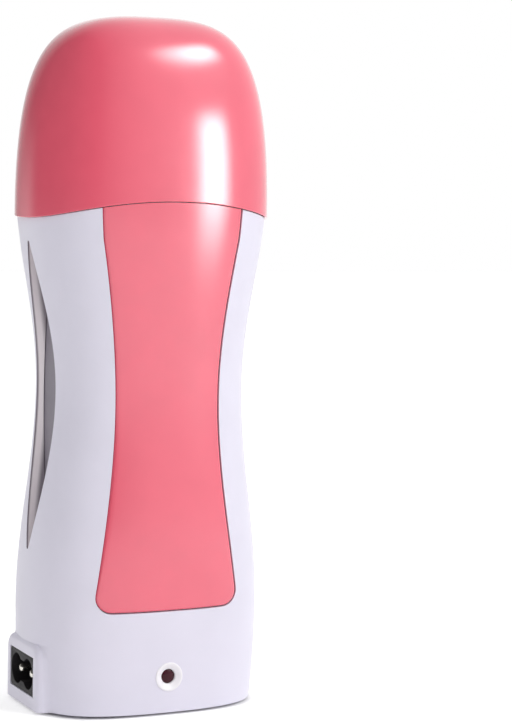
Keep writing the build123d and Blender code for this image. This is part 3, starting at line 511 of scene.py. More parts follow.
def body_half(z):
    """Half width and half depth of the body at height z."""
    form = bpy.context.scene.heater_form
    hip = (form.hip_x, form.hip_y)
    waist = (form.waist_x, form.waist_y)
    if z < form.hip_z:
        base = (form.base_x, form.base_y)
        return between(hip, base, ((form.hip_z - z) / (form.hip_z - CASING_LOW.z)) ** 2)
    if z < form.waist_z:
        return between(hip, waist, ease((z - form.hip_z) / (form.waist_z - form.hip_z)))
    rim = (CAP_HIGH.x - form.cap_proud, CAP_HIGH.y - form.cap_proud)
    return between(waist, rim, ease(min(1, (z - form.waist_z) / (form.rim_z - form.waist_z))))


def quarter(t):
    """Shares of the half width and half depth on a quarter of the section, from side to front."""
    full = bpy.context.scene.heater_form.fullness
    return bezier((1, 1, full, 0), t), bezier((0, full, 1, 1), t)


def turn_at(share):
    """Turn of a quarter at which its second share is reached."""
    return reached(lambda turn: quarter(turn)[1], share)


def around(turn, half, z):
    """Point of a level section: turn 0 is the front's middle, 1 the right side, 2 the back."""
    near, far = quarter(turn - math.floor(turn))
    a, b = half
    x, y = (
        (a * far, -b * near),
        (a * near, b * far),
        (-a * far, b * near),
        (-a * near, -b * far),
    )[math.floor(turn) % 4]
    return Vector((x, y, z))


def parting_height(x, gap):
    """Height of the line where cap and body part, an arc over the front."""
    form = bpy.context.scene.heater_form
    radius = form.parting_radius
    return form.parting_z - radius + math.sqrt((radius + gap) ** 2 - x * x)


def on_body(turn, z, inset, rise=0.0, gap=0.0):
    """Point of the body moved inwards by inset; rise goes from z (0) up to the parting line (1)."""
    point = None
    height = z
    for _ in range(PARTING_STEPS):
        half = body_half(height)
        point = around(turn, (half[0] - inset, half[1] - inset), height)
        if rise:
            height = mix(z, parting_height(point.x, gap), rise)
    point.z = height
    return point


def inlay_half(z, grow):
    """Half width of the inlay's outline, grown by grow, with its rounded lower corners."""
    form = bpy.context.scene.heater_form
    low = form.inlay_low - grow
    bottom = form.inlay_bottom + grow
    waist = form.inlay_waist + grow
    top = form.inlay_top + grow
    corner = form.inlay_corner + grow
    lean = math.atan(-form.inlay_low_slope)
    middle_x = bottom + form.inlay_low_slope * corner - corner / math.cos(lean)
    if z < low + corner * (1 + math.sin(lean)):
        drop = max(-corner, z - low - corner)
        return middle_x + math.sqrt(corner * corner - drop * drop)
    if z < form.inlay_waist_z:
        run = form.inlay_waist_z - low
        points = (bottom, bottom + form.inlay_low_slope * run / 3, waist, waist)
        return bezier(points, (z - low) / run)
    run = form.inlay_high - form.inlay_waist_z
    points = (waist, waist, top - form.inlay_high_slope * run / 3, top)
    return bezier(points, min(1, (z - form.inlay_waist_z) / run))


def inlay_corner_heights(grow, count):
    """Heights through the rounded lower corners, evenly spread along the arc."""
    form = bpy.context.scene.heater_form
    low = form.inlay_low - grow
    corner = form.inlay_corner + grow
    sweep = math.pi / 2 + math.atan(-form.inlay_low_slope)
    return [low + corner * (1 - math.cos(sweep * i / count)) for i in range(count + 1)]


def window_reach():
    """Radius of the window's two arcs and how far their middles lie across from the window's own."""
    form = bpy.context.scene.heater_form
    half = form.window_width / 2
    radius = (form.window_height**2 / 4 + half * half) / form.window_width
    return radius, radius - half


def window_tip():
    """Centre height of the round upper end above the window's middle, and where the arcs take over."""
    radius, offset = window_reach()
    tip = bpy.context.scene.heater_form.window_tip
    centre = math.sqrt((radius - tip) ** 2 - offset**2)
    return centre, centre * radius / (radius - tip)


def window_half(z):
    """Half width of the side window at height z, with its rounded ends."""
    form = bpy.context.scene.heater_form
    radius, offset = window_reach()
    centre, takeover = window_tip()
    rise = abs(z - form.window_z)
    if rise < takeover:
        return math.sqrt(radius**2 - rise**2) - offset
    drop = min(form.window_tip, rise - centre)
    return math.sqrt(max(0.0, form.window_tip**2 - drop**2))


def spaced(low, high, count):
    """Even heights from low up to, but without, high."""
    return [mix(low, high, i / count) for i in range(count)]


# ---------------------------------------------------------------- grids that follow the form

OUTER, INNER, RECESS, BOSS, FRAME = range(5)
WELD = 0.002 * MM             # points closer than this become one
SHARP_ANGLE = 35              # degrees above which an edge isn't shaded smooth
BEVEL_SEGMENTS = 3


def shell_grid(columns, rows):
    """Flat grid whose vertices know their column and row and which skin they belong to."""
    bm = bmesh.new()
    bmesh.ops.create_grid(bm, x_segments=columns, y_segments=rows, size=1)
    bm.verts.index_update()
    column = bm.verts.layers.int.new("column")
    row = bm.verts.layers.int.new("row")
    bm.verts.layers.int.new("skin")
    for vert in bm.verts:
        vert[column] = vert.index % (columns + 1)
        vert[row] = vert.index // (columns + 1)
    return bm


def grid_layers(bm):
    """The layers that hold each vertex's column, row and skin."""
    layers = bm.verts.layers.int
    return layers["column"], layers["row"], layers["skin"]


def patch(bm, columns, rows, skin=OUTER):
    """Faces of one skin between two columns and two rows."""
    column, row, layer = grid_layers(bm)
    return [
        face
        for face in bm.faces
        if all(
            columns[0] <= vert[column] <= columns[1]
            and rows[0] <= vert[row] <= rows[1]
            and vert[layer] == skin
            for vert in face.verts
        )
    ]


def cut(bm, faces):
    """Removes faces, and what hangs on nothing else."""
    bmesh.ops.delete(bm, geom=faces, context="FACES")


def extrude(bm, faces, skin, keep=False):
    """Extrudes faces into another skin, which is laid out later."""
    layer = bm.verts.layers.int["skin"]
    made = bmesh.ops.extrude_face_region(bm, geom=faces, use_keep_orig=keep)["geom"]
    for vert in made:
        if isinstance(vert, bmesh.types.BMVert):
            vert[layer] = skin
    if not keep:
        cut(bm, faces)


def lay_out(bm, where):
    """Moves every vertex to where its column, row and skin put it."""
    column, row, skin = grid_layers(bm)
    for vert in bm.verts:
        vert.co = where(vert[column], vert[row], vert[skin])


def close_up(bm):
    """Merges what came together, so that the piece is one closed skin that faces outwards."""
    bmesh.ops.remove_doubles(bm, verts=bm.verts[:], dist=WELD)
    bmesh.ops.dissolve_degenerate(bm, edges=bm.edges[:], dist=WELD)
    bmesh.ops.recalc_face_normals(bm, faces=bm.faces[:])


def finish_piece(bm, name, body, finishes, nodes, bevel=None):
    """Turns a bmesh into a smooth piece that rides on a body and stands for CAD nodes."""
    mesh = bpy.data.meshes.new(name)
    bm.to_mesh(mesh)
    bm.free()
    mesh.shade_smooth()
    mesh.set_sharp_from_angle(angle=math.radians(SHARP_ANGLE))
    for finish in finishes:
        mesh.materials.append(bpy.data.materials[finish])
    piece = bpy.data.objects.new(name, mesh)
    bpy.context.scene.collection.objects.link(piece)
    if bevel:
        rounding = piece.modifiers.new("rounded_edges", "BEVEL")
        rounding.limit_method = "WEIGHT"
        rounding.width = bevel
        rounding.segments = BEVEL_SEGMENTS
        rounding.use_clamp_overlap = True
        rounding.harden_normals = True
    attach(piece, body)
    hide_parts(*nodes)


# ---------------------------------------------------------------- turned, cut and bent pieces

MERGE = 0.001                 # points of a turned or bent form closer than this become one
DOME_STEPS = 8
FLAT_ANGLE = 1                # degrees between faces that count as one plane
RIM_ANGLE = 50                # degrees above which an edge counts as a rim
HEAD_THICKNESS = 1.1          # of a screw's head, millimetres
SCREW_SIDES = 40
SCREW_TIP = 0.6               # radius of a screw's tip, as a share of its shank
SCREW_FLAT = 0.62             # radius of the head's flat, as a share of the head
SCREW_CROSS = (0.42, 0.11)    # reach and half width of the cross, as shares of the head
SCREW_CROSS_DEPTH = 0.6       # as a share of the head's thickness
SCREW_SOFTNESS = 0.55         # rounding of the head's rim, as a share of its thickness


def aimed(origin, direction):
    """Place at origin that measures in millimetres, with its Z axis along direction."""
    turn = Vector(direction).to_track_quat("Z", "Y").to_matrix().to_4x4()
    return Matrix.Translation(origin) @ turn @ Matrix.Scale(MM, 4)


def upright(x, y, z):
    """Place that measures in millimetres, with its axes along the heater's own."""
    return Matrix.Translation((x, y, z)) @ Matrix.Scale(MM, 4)


def softened(points, reach, closed=False, count=4):
    """Polyline with rounded corners; a closed one ends where it starts."""
    corners = [Vector(point) for point in points]
    result = []
    for index, corner in enumerate(corners):
        if not closed and index in (0, len(corners) - 1):
            result.append(corner)
            continue
        before = corners[index - 1] - corner
        after = corners[(index + 1) % len(corners)] - corner
        start = corner + before.normalized() * min(reach, before.length / 2)
        end = corner + after.normalized() * min(reach, after.length / 2)
        for i in range(count + 1):
            t = i / count
            result.append(start.lerp(corner, t).lerp(corner.lerp(end, t), t))
    if closed:
        result.append(result[0])
    return result


def domed(radius, height):
    """Profile of a round end, from its pole to its rim."""
    turns = spaced(0, math.pi / 2, DOME_STEPS)
    profile = [(radius * math.sin(turn), height * (1 - math.cos(turn))) for turn in turns]
    return profile + [(radius, height)]


def added(bm, old):
    """Faces that were added since old, and their vertices."""
    faces = [face for face in bm.faces if face not in old]
    return faces, list({vert for face in faces for vert in face.verts})


def settle(bm, old, place, material):
    """Merges what was added since old, moves it to its place and gives it a material."""
    bmesh.ops.remove_doubles(bm, verts=added(bm, old)[1], dist=MERGE)
    faces, verts = added(bm, old)
    bmesh.ops.transform(bm, matrix=place, verts=verts)
    for face in faces:
        face.material_index = material


def turned(bm, profile, place, segments=48, material=0):
    """Adds a lathe-turned form: a profile of (radius, height) spun round the place's Z axis."""
    old = set(bm.faces)
    points = [bm.verts.new((radius, 0, height)) for radius, height in profile]
    edges = [bm.edges.new(pair) for pair in zip(points, points[1:])]
    bmesh.ops.spin(
        bm, geom=points + edges, cent=(0, 0, 0), axis=(0, 0, 1), dvec=(0, 0, 0),
        angle=math.tau, steps=segments, use_merge=True,
    )
    settle(bm, old, place, material)


def tube(bm, path, radius, place, segments=12, material=0):
    """Adds a round wire along a path, closed at both ends."""
    old = set(bm.faces)
    path = [Vector(point) for point in path]
    steps = [(end - start).normalized() for start, end in zip(path, path[1:])]
    aims = [steps[0], *[(a + b).normalized() for a, b in zip(steps, steps[1:])], steps[-1]]
    start = Matrix.Translation(path[0]) @ aims[0].to_track_quat("Z", "Y").to_matrix().to_4x4()
    ring = bmesh.ops.create_circle(bm, radius=radius, segments=segments, matrix=start)["verts"]
    edges = list({edge for vert in ring for edge in vert.link_edges})
    ends = list(edges)
    for station, following, aim, next_aim in zip(path, path[1:], aims, aims[1:]):
        made = bmesh.ops.extrude_edge_only(bm, edges=edges)["geom"]
        ring = [item for item in made if isinstance(item, bmesh.types.BMVert)]
        edges = [item for item in made if isinstance(item, bmesh.types.BMEdge) and item.is_boundary]
        bmesh.ops.translate(bm, verts=ring, vec=following - station)
        turn = aim.rotation_difference(next_aim).to_matrix()
        bmesh.ops.rotate(bm, verts=ring, cent=following, matrix=turn)
    bmesh.ops.holes_fill(bm, edges=ends + edges, sides=0)
    settle(bm, old, place, material)


def round_edges(bm, edges, width, segments):
    """Rounds edges with a few narrow faces."""
    bmesh.ops.bevel(
        bm, geom=edges, offset=width, offset_type="OFFSET", affect="EDGES",
        segments=segments, profile=0.5, clamp_overlap=True, material=-1,
    )


def brick(bm, low, high, rounding):
    """Adds a block between two corners, with rounded edges."""
    place = Matrix.Translation((low + high) / 2) @ Matrix.Diagonal((*(high - low), 1))
    made = bmesh.ops.create_cube(bm, size=1, matrix=place)["verts"]
    edges = list({edge for vert in made for edge in vert.link_edges})
    round_edges(bm, edges, rounding, BEVEL_SEGMENTS)


def loop(bm, points, place):
    """Closed chain of edges through flat points on the place's XY plane."""
    verts = [bm.verts.new(place @ Vector((x, y, 0))) for x, y in points]
    return [bm.edges.new((verts[index - 1], verts[index])) for index in range(len(verts))]


def fill(bm, *loops):
    """Flat faces between an outer loop and the loops inside it."""
    edges = [edge for chain in loops for edge in chain]
    made = bmesh.ops.triangle_fill(bm, edges=edges, use_beauty=True)["geom"]
    return [item for item in made if isinstance(item, bmesh.types.BMFace)]


def push(bm, faces, way, keep=False):
    """Extrudes faces by a vector; with keep, the faces stay as the other side of the solid."""
    made = bmesh.ops.extrude_face_region(bm, geom=faces, use_keep_orig=keep)["geom"]
    moved = [item for item in made if isinstance(item, bmesh.types.BMVert)]
    bmesh.ops.translate(bm, verts=moved, vec=way)
    if not keep:
        cut(bm, faces)


def ring_points(radius, count=40, centre=(0, 0)):
    """Points of a circle."""
    turns = [math.tau * i / count for i in range(count)]
    return [(centre[0] + radius * math.cos(t), centre[1] + radius * math.sin(t)) for t in turns]


def rounded_rectangle(half_x, half_y, radius, count=6):
    """Points of a rectangle with round corners."""
    points = []
    for quadrant, (side, end) in enumerate(((1, 1), (-1, 1), (-1, -1), (1, -1))):
        for i in range(count + 1):
            angle = math.pi / 2 * (quadrant + i / count)
            points.append((
                side * (half_x - radius) + radius * math.cos(angle),
                end * (half_y - radius) + radius * math.sin(angle),
            ))
    return points


def cross_points(reach, half):
    """Points of a cross recess, from the tip of one arm round to the next."""
    points = []
    for quadrant in range(4):
        turn = Matrix.Rotation(math.pi / 2 * quadrant, 2)
        for x, y in ((reach, -half), (reach, half), (half, half)):
            points.append(turn @ Vector((x, y)))
    return points


def join_flats(bm):
    """Joins the faces that lie side by side in one plane."""
    bmesh.ops.dissolve_limit(
        bm, angle_limit=math.radians(FLAT_ANGLE), use_dissolve_boundaries=False,
        verts=bm.verts[:], edges=bm.edges[:],
    )


def round_rims(bm, width, segments=2):
    """Joins flat faces and rounds the sharp edges between them."""
    join_flats(bm)
    bmesh.ops.recalc_face_normals(bm, faces=bm.faces[:])
    edges = [edge for edge in bm.edges if edge.calc_face_angle(0) > math.radians(RIM_ANGLE)]
    round_edges(bm, edges, width, segments)


def screw(bm, place, shank, radius, head):
    """Adds a pan-head screw with a cross recess; its seat is at the place and its head above it."""
    flat = SCREW_FLAT * head
    profile = [(0, -shank), (radius * SCREW_TIP, -shank), (radius, -shank + radius), (radius, 0)]
    rim = [(head, 0), (head, HEAD_THICKNESS), (flat, HEAD_THICKNESS)]
    profile += softened(rim, SCREW_SOFTNESS * HEAD_THICKNESS)
    turned(bm, profile, place, segments=SCREW_SIDES)
    top = place @ Matrix.Translation((0, 0, HEAD_THICKNESS))
    outer = loop(bm, ring_points(flat, SCREW_SIDES), top)
    inner = loop(bm, cross_points(*(share * head for share in SCREW_CROSS)), top)
    fill(bm, outer, inner)
    depth = Vector((0, 0, -SCREW_CROSS_DEPTH * HEAD_THICKNESS))
    push(bm, fill(bm, inner), place.to_3x3() @ depth)


# ---------------------------------------------------------------- casing halves

SIDE_COUNTS = (4, 5, 3)       # columns from seam to socket, socket to edge, edge to frame
GATHERED_STRIP = 1            # the one of these whose columns gather towards its far edge
FRONT_COUNTS = (9, 12, 12, 9)
REAR_COUNTS = (16, 16)
LAMP_COLUMNS = 3              # the indicator's hole spans this many columns each side
LAMP_ROWS = (2, 7)            # and these rows above the socket's lower edge
FOOT_ROWS = 2
SOCKET_ROWS = 8
BOSS_ROWS = 7                 # in the boss's upper corners
HIP_ROWS = 7                  # from the boss to the recess
HIP_GATHERING = 1.6           # how much those gather towards the boss
CORNER_ROWS = 8               # in the recess's lower corners
GRIP_ROWS = 6                 # from there to the windows
WINDOW_ROWS = 44
RIM_ROWS = 6                  # from the windows to the cap
TIP_TURNS = (25, 48)          # degrees from a window's point at which rows cross its round end
SOCKET_SHARE = 0.75           # the most of the side strip that the socket's columns take
EDGE_FLARE = 0.15             # widening of the side strip above the windows


def tip_reach(turn):
    """Distance from the window's middle to a row through its round end."""
    form = bpy.context.scene.heater_form
    return window_tip()[0] + form.window_tip * math.cos(math.radians(turn))


def casing_rows():
    """Heights of the casing's rows as (height, rise), and the rows that edges follow."""
    form = bpy.context.scene.heater_form
    marks = {}
    levels = spaced(CASING_LOW.z, form.socket_low, FOOT_ROWS)
    marks["socket_low"] = len(levels)
    marks["lamp_low"], marks["lamp_high"] = (len(levels) + row for row in LAMP_ROWS)
    levels += spaced(form.socket_low, form.socket_high, SOCKET_ROWS)
    marks["socket_high"] = len(levels)
    start = form.boss_top - form.boss_corner
    first = math.asin((form.socket_high - start) / form.boss_corner)
    turns = spaced(first, math.pi / 2, BOSS_ROWS)
    levels += [start + form.boss_corner * math.sin(turn) for turn in turns]
    marks["boss_top"] = len(levels)
    low = form.inlay_low - form.inlay_gap
    shares = spaced(0, 1, HIP_ROWS)
    levels += [mix(form.boss_top, low, share**HIP_GATHERING) for share in shares]
    marks["recess_low"] = len(levels)
    levels += inlay_corner_heights(form.inlay_gap, CORNER_ROWS)
    takeover = window_tip()[1]
    tip = [tip_reach(turn) for turn in TIP_TURNS]
    outside = tip[0] + form.frame_wall
    levels += spaced(levels[-1], form.window_z - outside, GRIP_ROWS)[1:]
    marks["window_low"] = len(levels) + 1
    levels += [form.window_z - rise for rise in (outside, *tip)]
    levels += spaced(form.window_z - takeover, form.window_z + takeover, WINDOW_ROWS)
    levels += [form.window_z + rise for rise in (takeover, *reversed(tip), outside)]
    marks["window_high"] = len(levels) - 2
    rows = [(z, 0.0) for z in levels]
    rows += [(levels[-1], (row + 1) / RIM_ROWS) for row in range(RIM_ROWS)]
    marks["top"] = len(rows) - 1
    return rows, marks


def boss_half(z):
    """Half width of the inlet boss at height z."""
    form = bpy.context.scene.heater_form
    rise = max(0.0, z - form.boss_top + form.boss_corner)
    rise = min(rise, form.boss_corner)
    return form.boss_width / 2 - form.boss_corner + math.sqrt(form.boss_corner**2 - rise**2)


def side_edge(z):
    """Half width of the strip over each side: the boss below, the window above."""
    form = bpy.context.scene.heater_form
    reach = tip_reach(TIP_TURNS[0])
    tip = window_half(form.window_z + reach)
    low = form.window_z - reach
    if z <= form.boss_top:
        return boss_half(z)
    if z < low:
        return mix(boss_half(form.boss_top), tip, (z - form.boss_top) / (low - form.boss_top))
    if z > form.window_z + reach:
        return tip + (z - form.window_z - reach) * EDGE_FLARE
    return window_half(z)


def half_turns(front, z, inset):
    """Turns of a casing half's columns at height z, on a skin moved inwards by inset."""
    form = bpy.context.scene.heater_form
    half = body_half(z)
    edge = side_edge(z)
    reaches = (min(form.socket_width / 2, SOCKET_SHARE * edge), edge, edge + form.frame_wall)
    side = [0] + [turn_at(reach / (half[1] - inset)) for reach in reaches]
    right = []
    for strip, (first, last, count) in enumerate(zip(side, side[1:], SIDE_COUNTS)):
        for share in spaced(0, 1, count):
            if strip == GATHERED_STRIP:
                share = math.sin(share * math.pi / 2)
            right.append(mix(first, last, share))
    right.append(side[-1])
    if front:
        inlay = turn_at(inlay_half(z, form.inlay_gap) / (half[0] - inset))
        start, end = -1, 1
        middle = [-inlay, 0, inlay]
        counts = FRONT_COUNTS
    else:
        start, end = 1, 3
        middle = [2]
        counts = REAR_COUNTS
    middle = [start + side[-1], *middle, end - side[-1]]
    turns = [start + turn for turn in right[:-1]]
    for first, last, count in zip(middle, middle[1:], counts):
        turns += spaced(first, last, count)
    return turns + [end - turn for turn in reversed(right)]


def boss_inside(y, z):
    """How far a point of the side view lies inside the boss's outline (negative outside)."""
    form = bpy.context.scene.heater_form
    across = abs(y) - form.boss_width / 2 + form.boss_corner
    up = z - form.boss_top + form.boss_corner
    if across > 0 and up > 0:
        return form.boss_corner - math.hypot(across, up)
    return form.boss_corner - max(across, up)


def quarter_round(radius, distance):
    """Drop of a round edge at a distance from where it starts."""
    left = max(0.0, radius - max(0.0, distance))
    return radius - math.sqrt(radius**2 - left**2)


def soft_max(first, second, width):
    """The larger of two values, with a round change from one to the other."""
    share = max(0.0, width - abs(first - second)) / width
    return max(first, second) + share * share * width / 4


def line_window(point, inset, frame_x, framed):
    """Moves a point of a window's inner edge onto its thin lip, narrowed towards the well."""
    form = bpy.context.scene.heater_form
    surface = body_half(point.z)[0]
    lip = mix(form.window_lip, inset, window_half(point.z) / window_half(form.window_z))
    share = 1 if framed else min(1, lip / (surface - frame_x))
    point.y *= 1 - form.frame_slope * share
    point.x = math.copysign(surface - lip, point.x)


def raise_boss(point, on_boss):
    """Moves a point of the left side out to the boss's face, or into the hollow round its foot."""
    form = bpy.context.scene.heater_form
    inside = boss_inside(point.y, point.z)
    if on_boss:
        height = form.boss_face - quarter_round(form.boss_round, inside)
        point.x = -soft_max(-point.x, height, form.boss_round / 2)
    else:
        wall = max(0.0, form.boss_face - form.boss_round + point.x)
        share = min(wall, form.boss_fillet) / form.boss_fillet
        point.x -= share * quarter_round(form.boss_fillet, -inside)


def casing_half(front):
    """One half of the casing with its recess, windows, window frames, socket and boss."""
    form = bpy.context.scene.heater_form
    rows, marks = casing_rows()
    side = sum(SIDE_COUNTS)
    columns = 2 * side + sum(FRONT_COUNTS if front else REAR_COUNTS)
    edge = side - SIDE_COUNTS[-1]
    middle = side + sum(FRONT_COUNTS[:2])
    window = (marks["window_low"], marks["window_high"])

    def strip(count, on_left):
        """Columns of a strip over the left or the right side, counted from the seam."""
        return (0, count) if on_left == front else (columns - count, columns)

    bm = shell_grid(columns, len(rows) - 1)
    bm.verts.layers.float.new("depth")
    cut(bm, patch(bm, strip(SIDE_COUNTS[0], True), (marks["socket_low"], marks["socket_high"])))
    cut(bm, patch(bm, strip(edge, True), window) + patch(bm, strip(edge, False), window))
    if front:
        lamp = (middle - LAMP_COLUMNS, middle + LAMP_COLUMNS)
        cut(bm, patch(bm, lamp, (marks["lamp_low"], marks["lamp_high"])))
        inlay = (side + FRONT_COUNTS[0], columns - side - FRONT_COUNTS[0])
        extrude(bm, patch(bm, inlay, (marks["recess_low"], marks["top"])), RECESS)
        row = bm.verts.layers.int["row"]
        cut(bm, [f for f in bm.faces if all(v[row] == marks["top"] for v in f.verts)])
    extrude(bm, bm.faces[:], INNER, keep=True)
    extrude(bm, patch(bm, strip(edge, True), (0, marks["boss_top"])), BOSS)
    for on_left in (True, False):
        extrude(bm, patch(bm, strip(side, on_left), (window[0] - 1, window[1] + 1), INNER), FRAME)

    insets = {OUTER: 0.0, BOSS: 0.0, INNER: form.wall, FRAME: form.wall}
    insets[RECESS] = form.inlay_thickness + form.inlay_gap
    turns = {
        (index, inset): half_turns(front, z, inset)
        for index, (z, rise) in enumerate(rows)
        for inset in set(insets.values())
    }
    frame_x = LINER_HIGH.x - form.liner_lip + form.frame_gap

    def lamp_shift(column, row):
        """Share and place of the pull towards the round hole of the indicator."""
        across = (column - middle) / LAMP_COLUMNS
        half_rows = (marks["lamp_high"] - marks["lamp_low"]) / 2
        up = (row - (marks["lamp_high"] + marks["lamp_low"]) / 2) / half_rows
        reach = max(abs(across), abs(up))
        if not front or reach >= 2 or reach == 0:
            return 0, 0, 0
        scale = BEZEL_HIGH.x * reach / math.hypot(across, up)
        return min(1, 2 - reach), across * scale, LAMP_Z + up * scale

    def where(column, row, skin):
        """Place of a vertex of the casing."""
        inset = insets[skin]
        z, rise = rows[row]
        point = on_body(turns[row, inset][column], z, inset, rise)
        share, x, height = lamp_shift(column, row)
        if share:
            x = mix(point.x, x, share)
            height = mix(point.z, height, share)
            turn = turn_at(abs(x) / (body_half(height)[0] - inset))
            point = on_body(math.copysign(turn, x), height, inset)
        at_window = window[0] <= row <= window[1] and not edge < column < columns - edge
        if at_window and skin in (INNER, FRAME):
            line_window(point, inset, frame_x, skin == FRAME)
        if skin == FRAME:
            point.x = math.copysign(frame_x, point.x)
        if point.x < 0 and skin in (OUTER, BOSS):
            raise_boss(point, skin == BOSS)
        return point

    lay_out(bm, where)
    # paints shade and light into the windows' frames through their second material
    paint_window_shade(bm, (edge, columns - edge), window)
    weigh_casing(bm, columns, marks)
    close_up(bm)
    return bm


def paint_window_shade(bm, edges, rows):
    """Gives the windows' edges and frames the material with painted shade and light, and notes each
    point's depth.
    """
    column, row, skin = grid_layers(bm)
    depth = bm.verts.layers.float["depth"]
    surface = {(vert[column], vert[row]): vert.co.x for vert in bm.verts if vert[skin] == OUTER}
    for vert in bm.verts:
        vert[depth] = abs(surface.get((vert[column], vert[row]), vert.co.x) - vert.co.x)
    for face in bm.faces:
        skins = {vert[skin] for vert in face.verts}
        at_window = all(
            rows[0] <= vert[row] <= rows[1] and not edges[0] < vert[column] < edges[1]
            for vert in face.verts
        )
        # faces of the frame and of the window's edge get the second material, with painted shade and
        # light
        if FRAME in skins or (at_window and skins == {OUTER, INNER}):
            face.material_index = 1


def weigh_casing(bm, columns, marks):
    """Sets how round each edge of the casing is, as a share of the largest rounding."""
    form = bpy.context.scene.heater_form
    weight = bm.edges.layers.float.new("bevel_weight_edge")
    column, row, skin = grid_layers(bm)
    for edge in bm.edges:
        if len(edge.link_faces) != 2:
            continue
        kinds = {vert[skin] for vert in edge.verts}
        lookers = [{vert[skin] for vert in face.verts} for face in edge.link_faces]
        at_end = all(vert[row] == marks["top"] for vert in edge.verts)
        at_end = at_end or all(vert[row] == 0 for vert in edge.verts)
        at_seam = all(vert[column] in (0, columns) for vert in edge.verts)
        plain = kinds == {OUTER} and {OUTER} in lookers
        size = 0.0
        if plain and {OUTER, RECESS} in lookers:
            size = form.recess_round
        elif plain and {OUTER, INNER} in lookers:
            if at_end:
                size = form.rim_round
            elif at_seam:
                size = form.seam_round
            elif min(vert[row] for vert in edge.verts) >= marks["window_low"]:
                size = form.window_round
        elif kinds == {BOSS} and {BOSS} in lookers and lookers[0] != lookers[1]:
            size = form.seam_round
        edge[weight] = size / form.largest_round


class HEATER_OT_casing(bpy.types.Operator):
    """Front and rear casing halves"""

    bl_idname = "heater.casing"
    bl_label = "Casing halves"

    def execute(self, context):
        rounding = context.scene.heater_form.largest_round
        # the second finish has painted shade and light for the windows' frames
        finishes = ["white_satin", "smoked_frame"]
        for node, front in (("front_casing", True), ("rear_casing", False)):
            bm = casing_half(front)
            finish_piece(bm, node + "_shell", "heater", finishes, [node], rounding)
        return {"FINISHED"}


# ---------------------------------------------------------------- front inlay

INLAY_COLUMNS = 26            # between the panel's rounded edges
INLAY_STRIP = 4               # columns and rows in a rounded edge
INLAY_CORNER_ROWS = 10
INLAY_LEVEL_ROWS = 50         # above the corners
INLAY_LEVEL_END = 8 * MM      # where these end, below the cap's edge
INLAY_RIM_ROWS = 5            # from there to the cap's edge


class HEATER_OT_inlay(bpy.types.Operator):
    """Glossy panel that fills the recess in the casing's front"""

    bl_idname = "heater.inlay"
    bl_label = "Front inlay"

    def execute(self, context):
        form = context.scene.heater_form
        strip = INLAY_STRIP
        levels = []
        for i in range(strip + 1):
            angle = math.pi / 2 * (1 - i / strip)
            grow = form.inlay_round * (math.sin(angle) - 1)
            levels.append((grow, form.inlay_round * (1 - math.cos(angle))))
        arcs = [inlay_corner_heights(grow, INLAY_CORNER_ROWS) for grow, inset in levels]
        end = form.parting_z - INLAY_LEVEL_END
        upper = [(z, 0.0) for z in spaced(arcs[0][-1], end, INLAY_LEVEL_ROWS)[1:]]
        last = upper[-1][0]
        upper += [(last, (row + 1) / INLAY_RIM_ROWS) for row in range(INLAY_RIM_ROWS)]
        columns = INLAY_COLUMNS + 2 * strip
        bm = shell_grid(columns, strip + INLAY_CORNER_ROWS + len(upper))
        extrude(bm, bm.faces[:], INNER, keep=True)

        def where(column, row, skin):
            """Place of a vertex of the panel."""
            level = min(column, columns - column, strip, row)
            grow, inset = levels[level]
            rise = 0.0
            if row < strip:
                z = form.inlay_low - grow
            elif row <= strip + INLAY_CORNER_ROWS:
                z = arcs[level][row - strip]
            else:
                z, rise = upper[row - strip - INLAY_CORNER_ROWS - 1]
            if skin == INNER:
                inset = form.inlay_thickness
            inside = min(max(column, strip), columns - strip) - strip
            across = 2 * inside / INLAY_COLUMNS - 1
            reach = turn_at(inlay_half(z, grow) / (body_half(z)[0] - inset))
            return on_body(across * reach, z, inset, rise)

        lay_out(bm, where)
        close_up(bm)
        finish_piece(bm, "front_panel", "heater", ["glossy_pink"], ["front_inlay"])
        return {"FINISHED"}


# ---------------------------------------------------------------- cap

CAP_COLUMNS = 112
CROWN_ROWS = 44
SKIRT_ROWS = 3
SKIRT_HEIGHT = 1 * MM         # from the cap's edge to the first of the crown's rows


def cap_profile(t, wall):
    """Half width and height of the dome, from the upright rim (t = 0) to the top (t = 1)."""
    form = bpy.context.scene.heater_form
    a = CAP_HIGH.x - wall
    top = CAP_HIGH.z - wall
    rim = CAP_HIGH.z - form.crown_height
    reach = bezier((a, a, a * form.crown_pull, 0), t)
    return reach, bezier((rim, top - form.shoulder_drop, top, top), t)


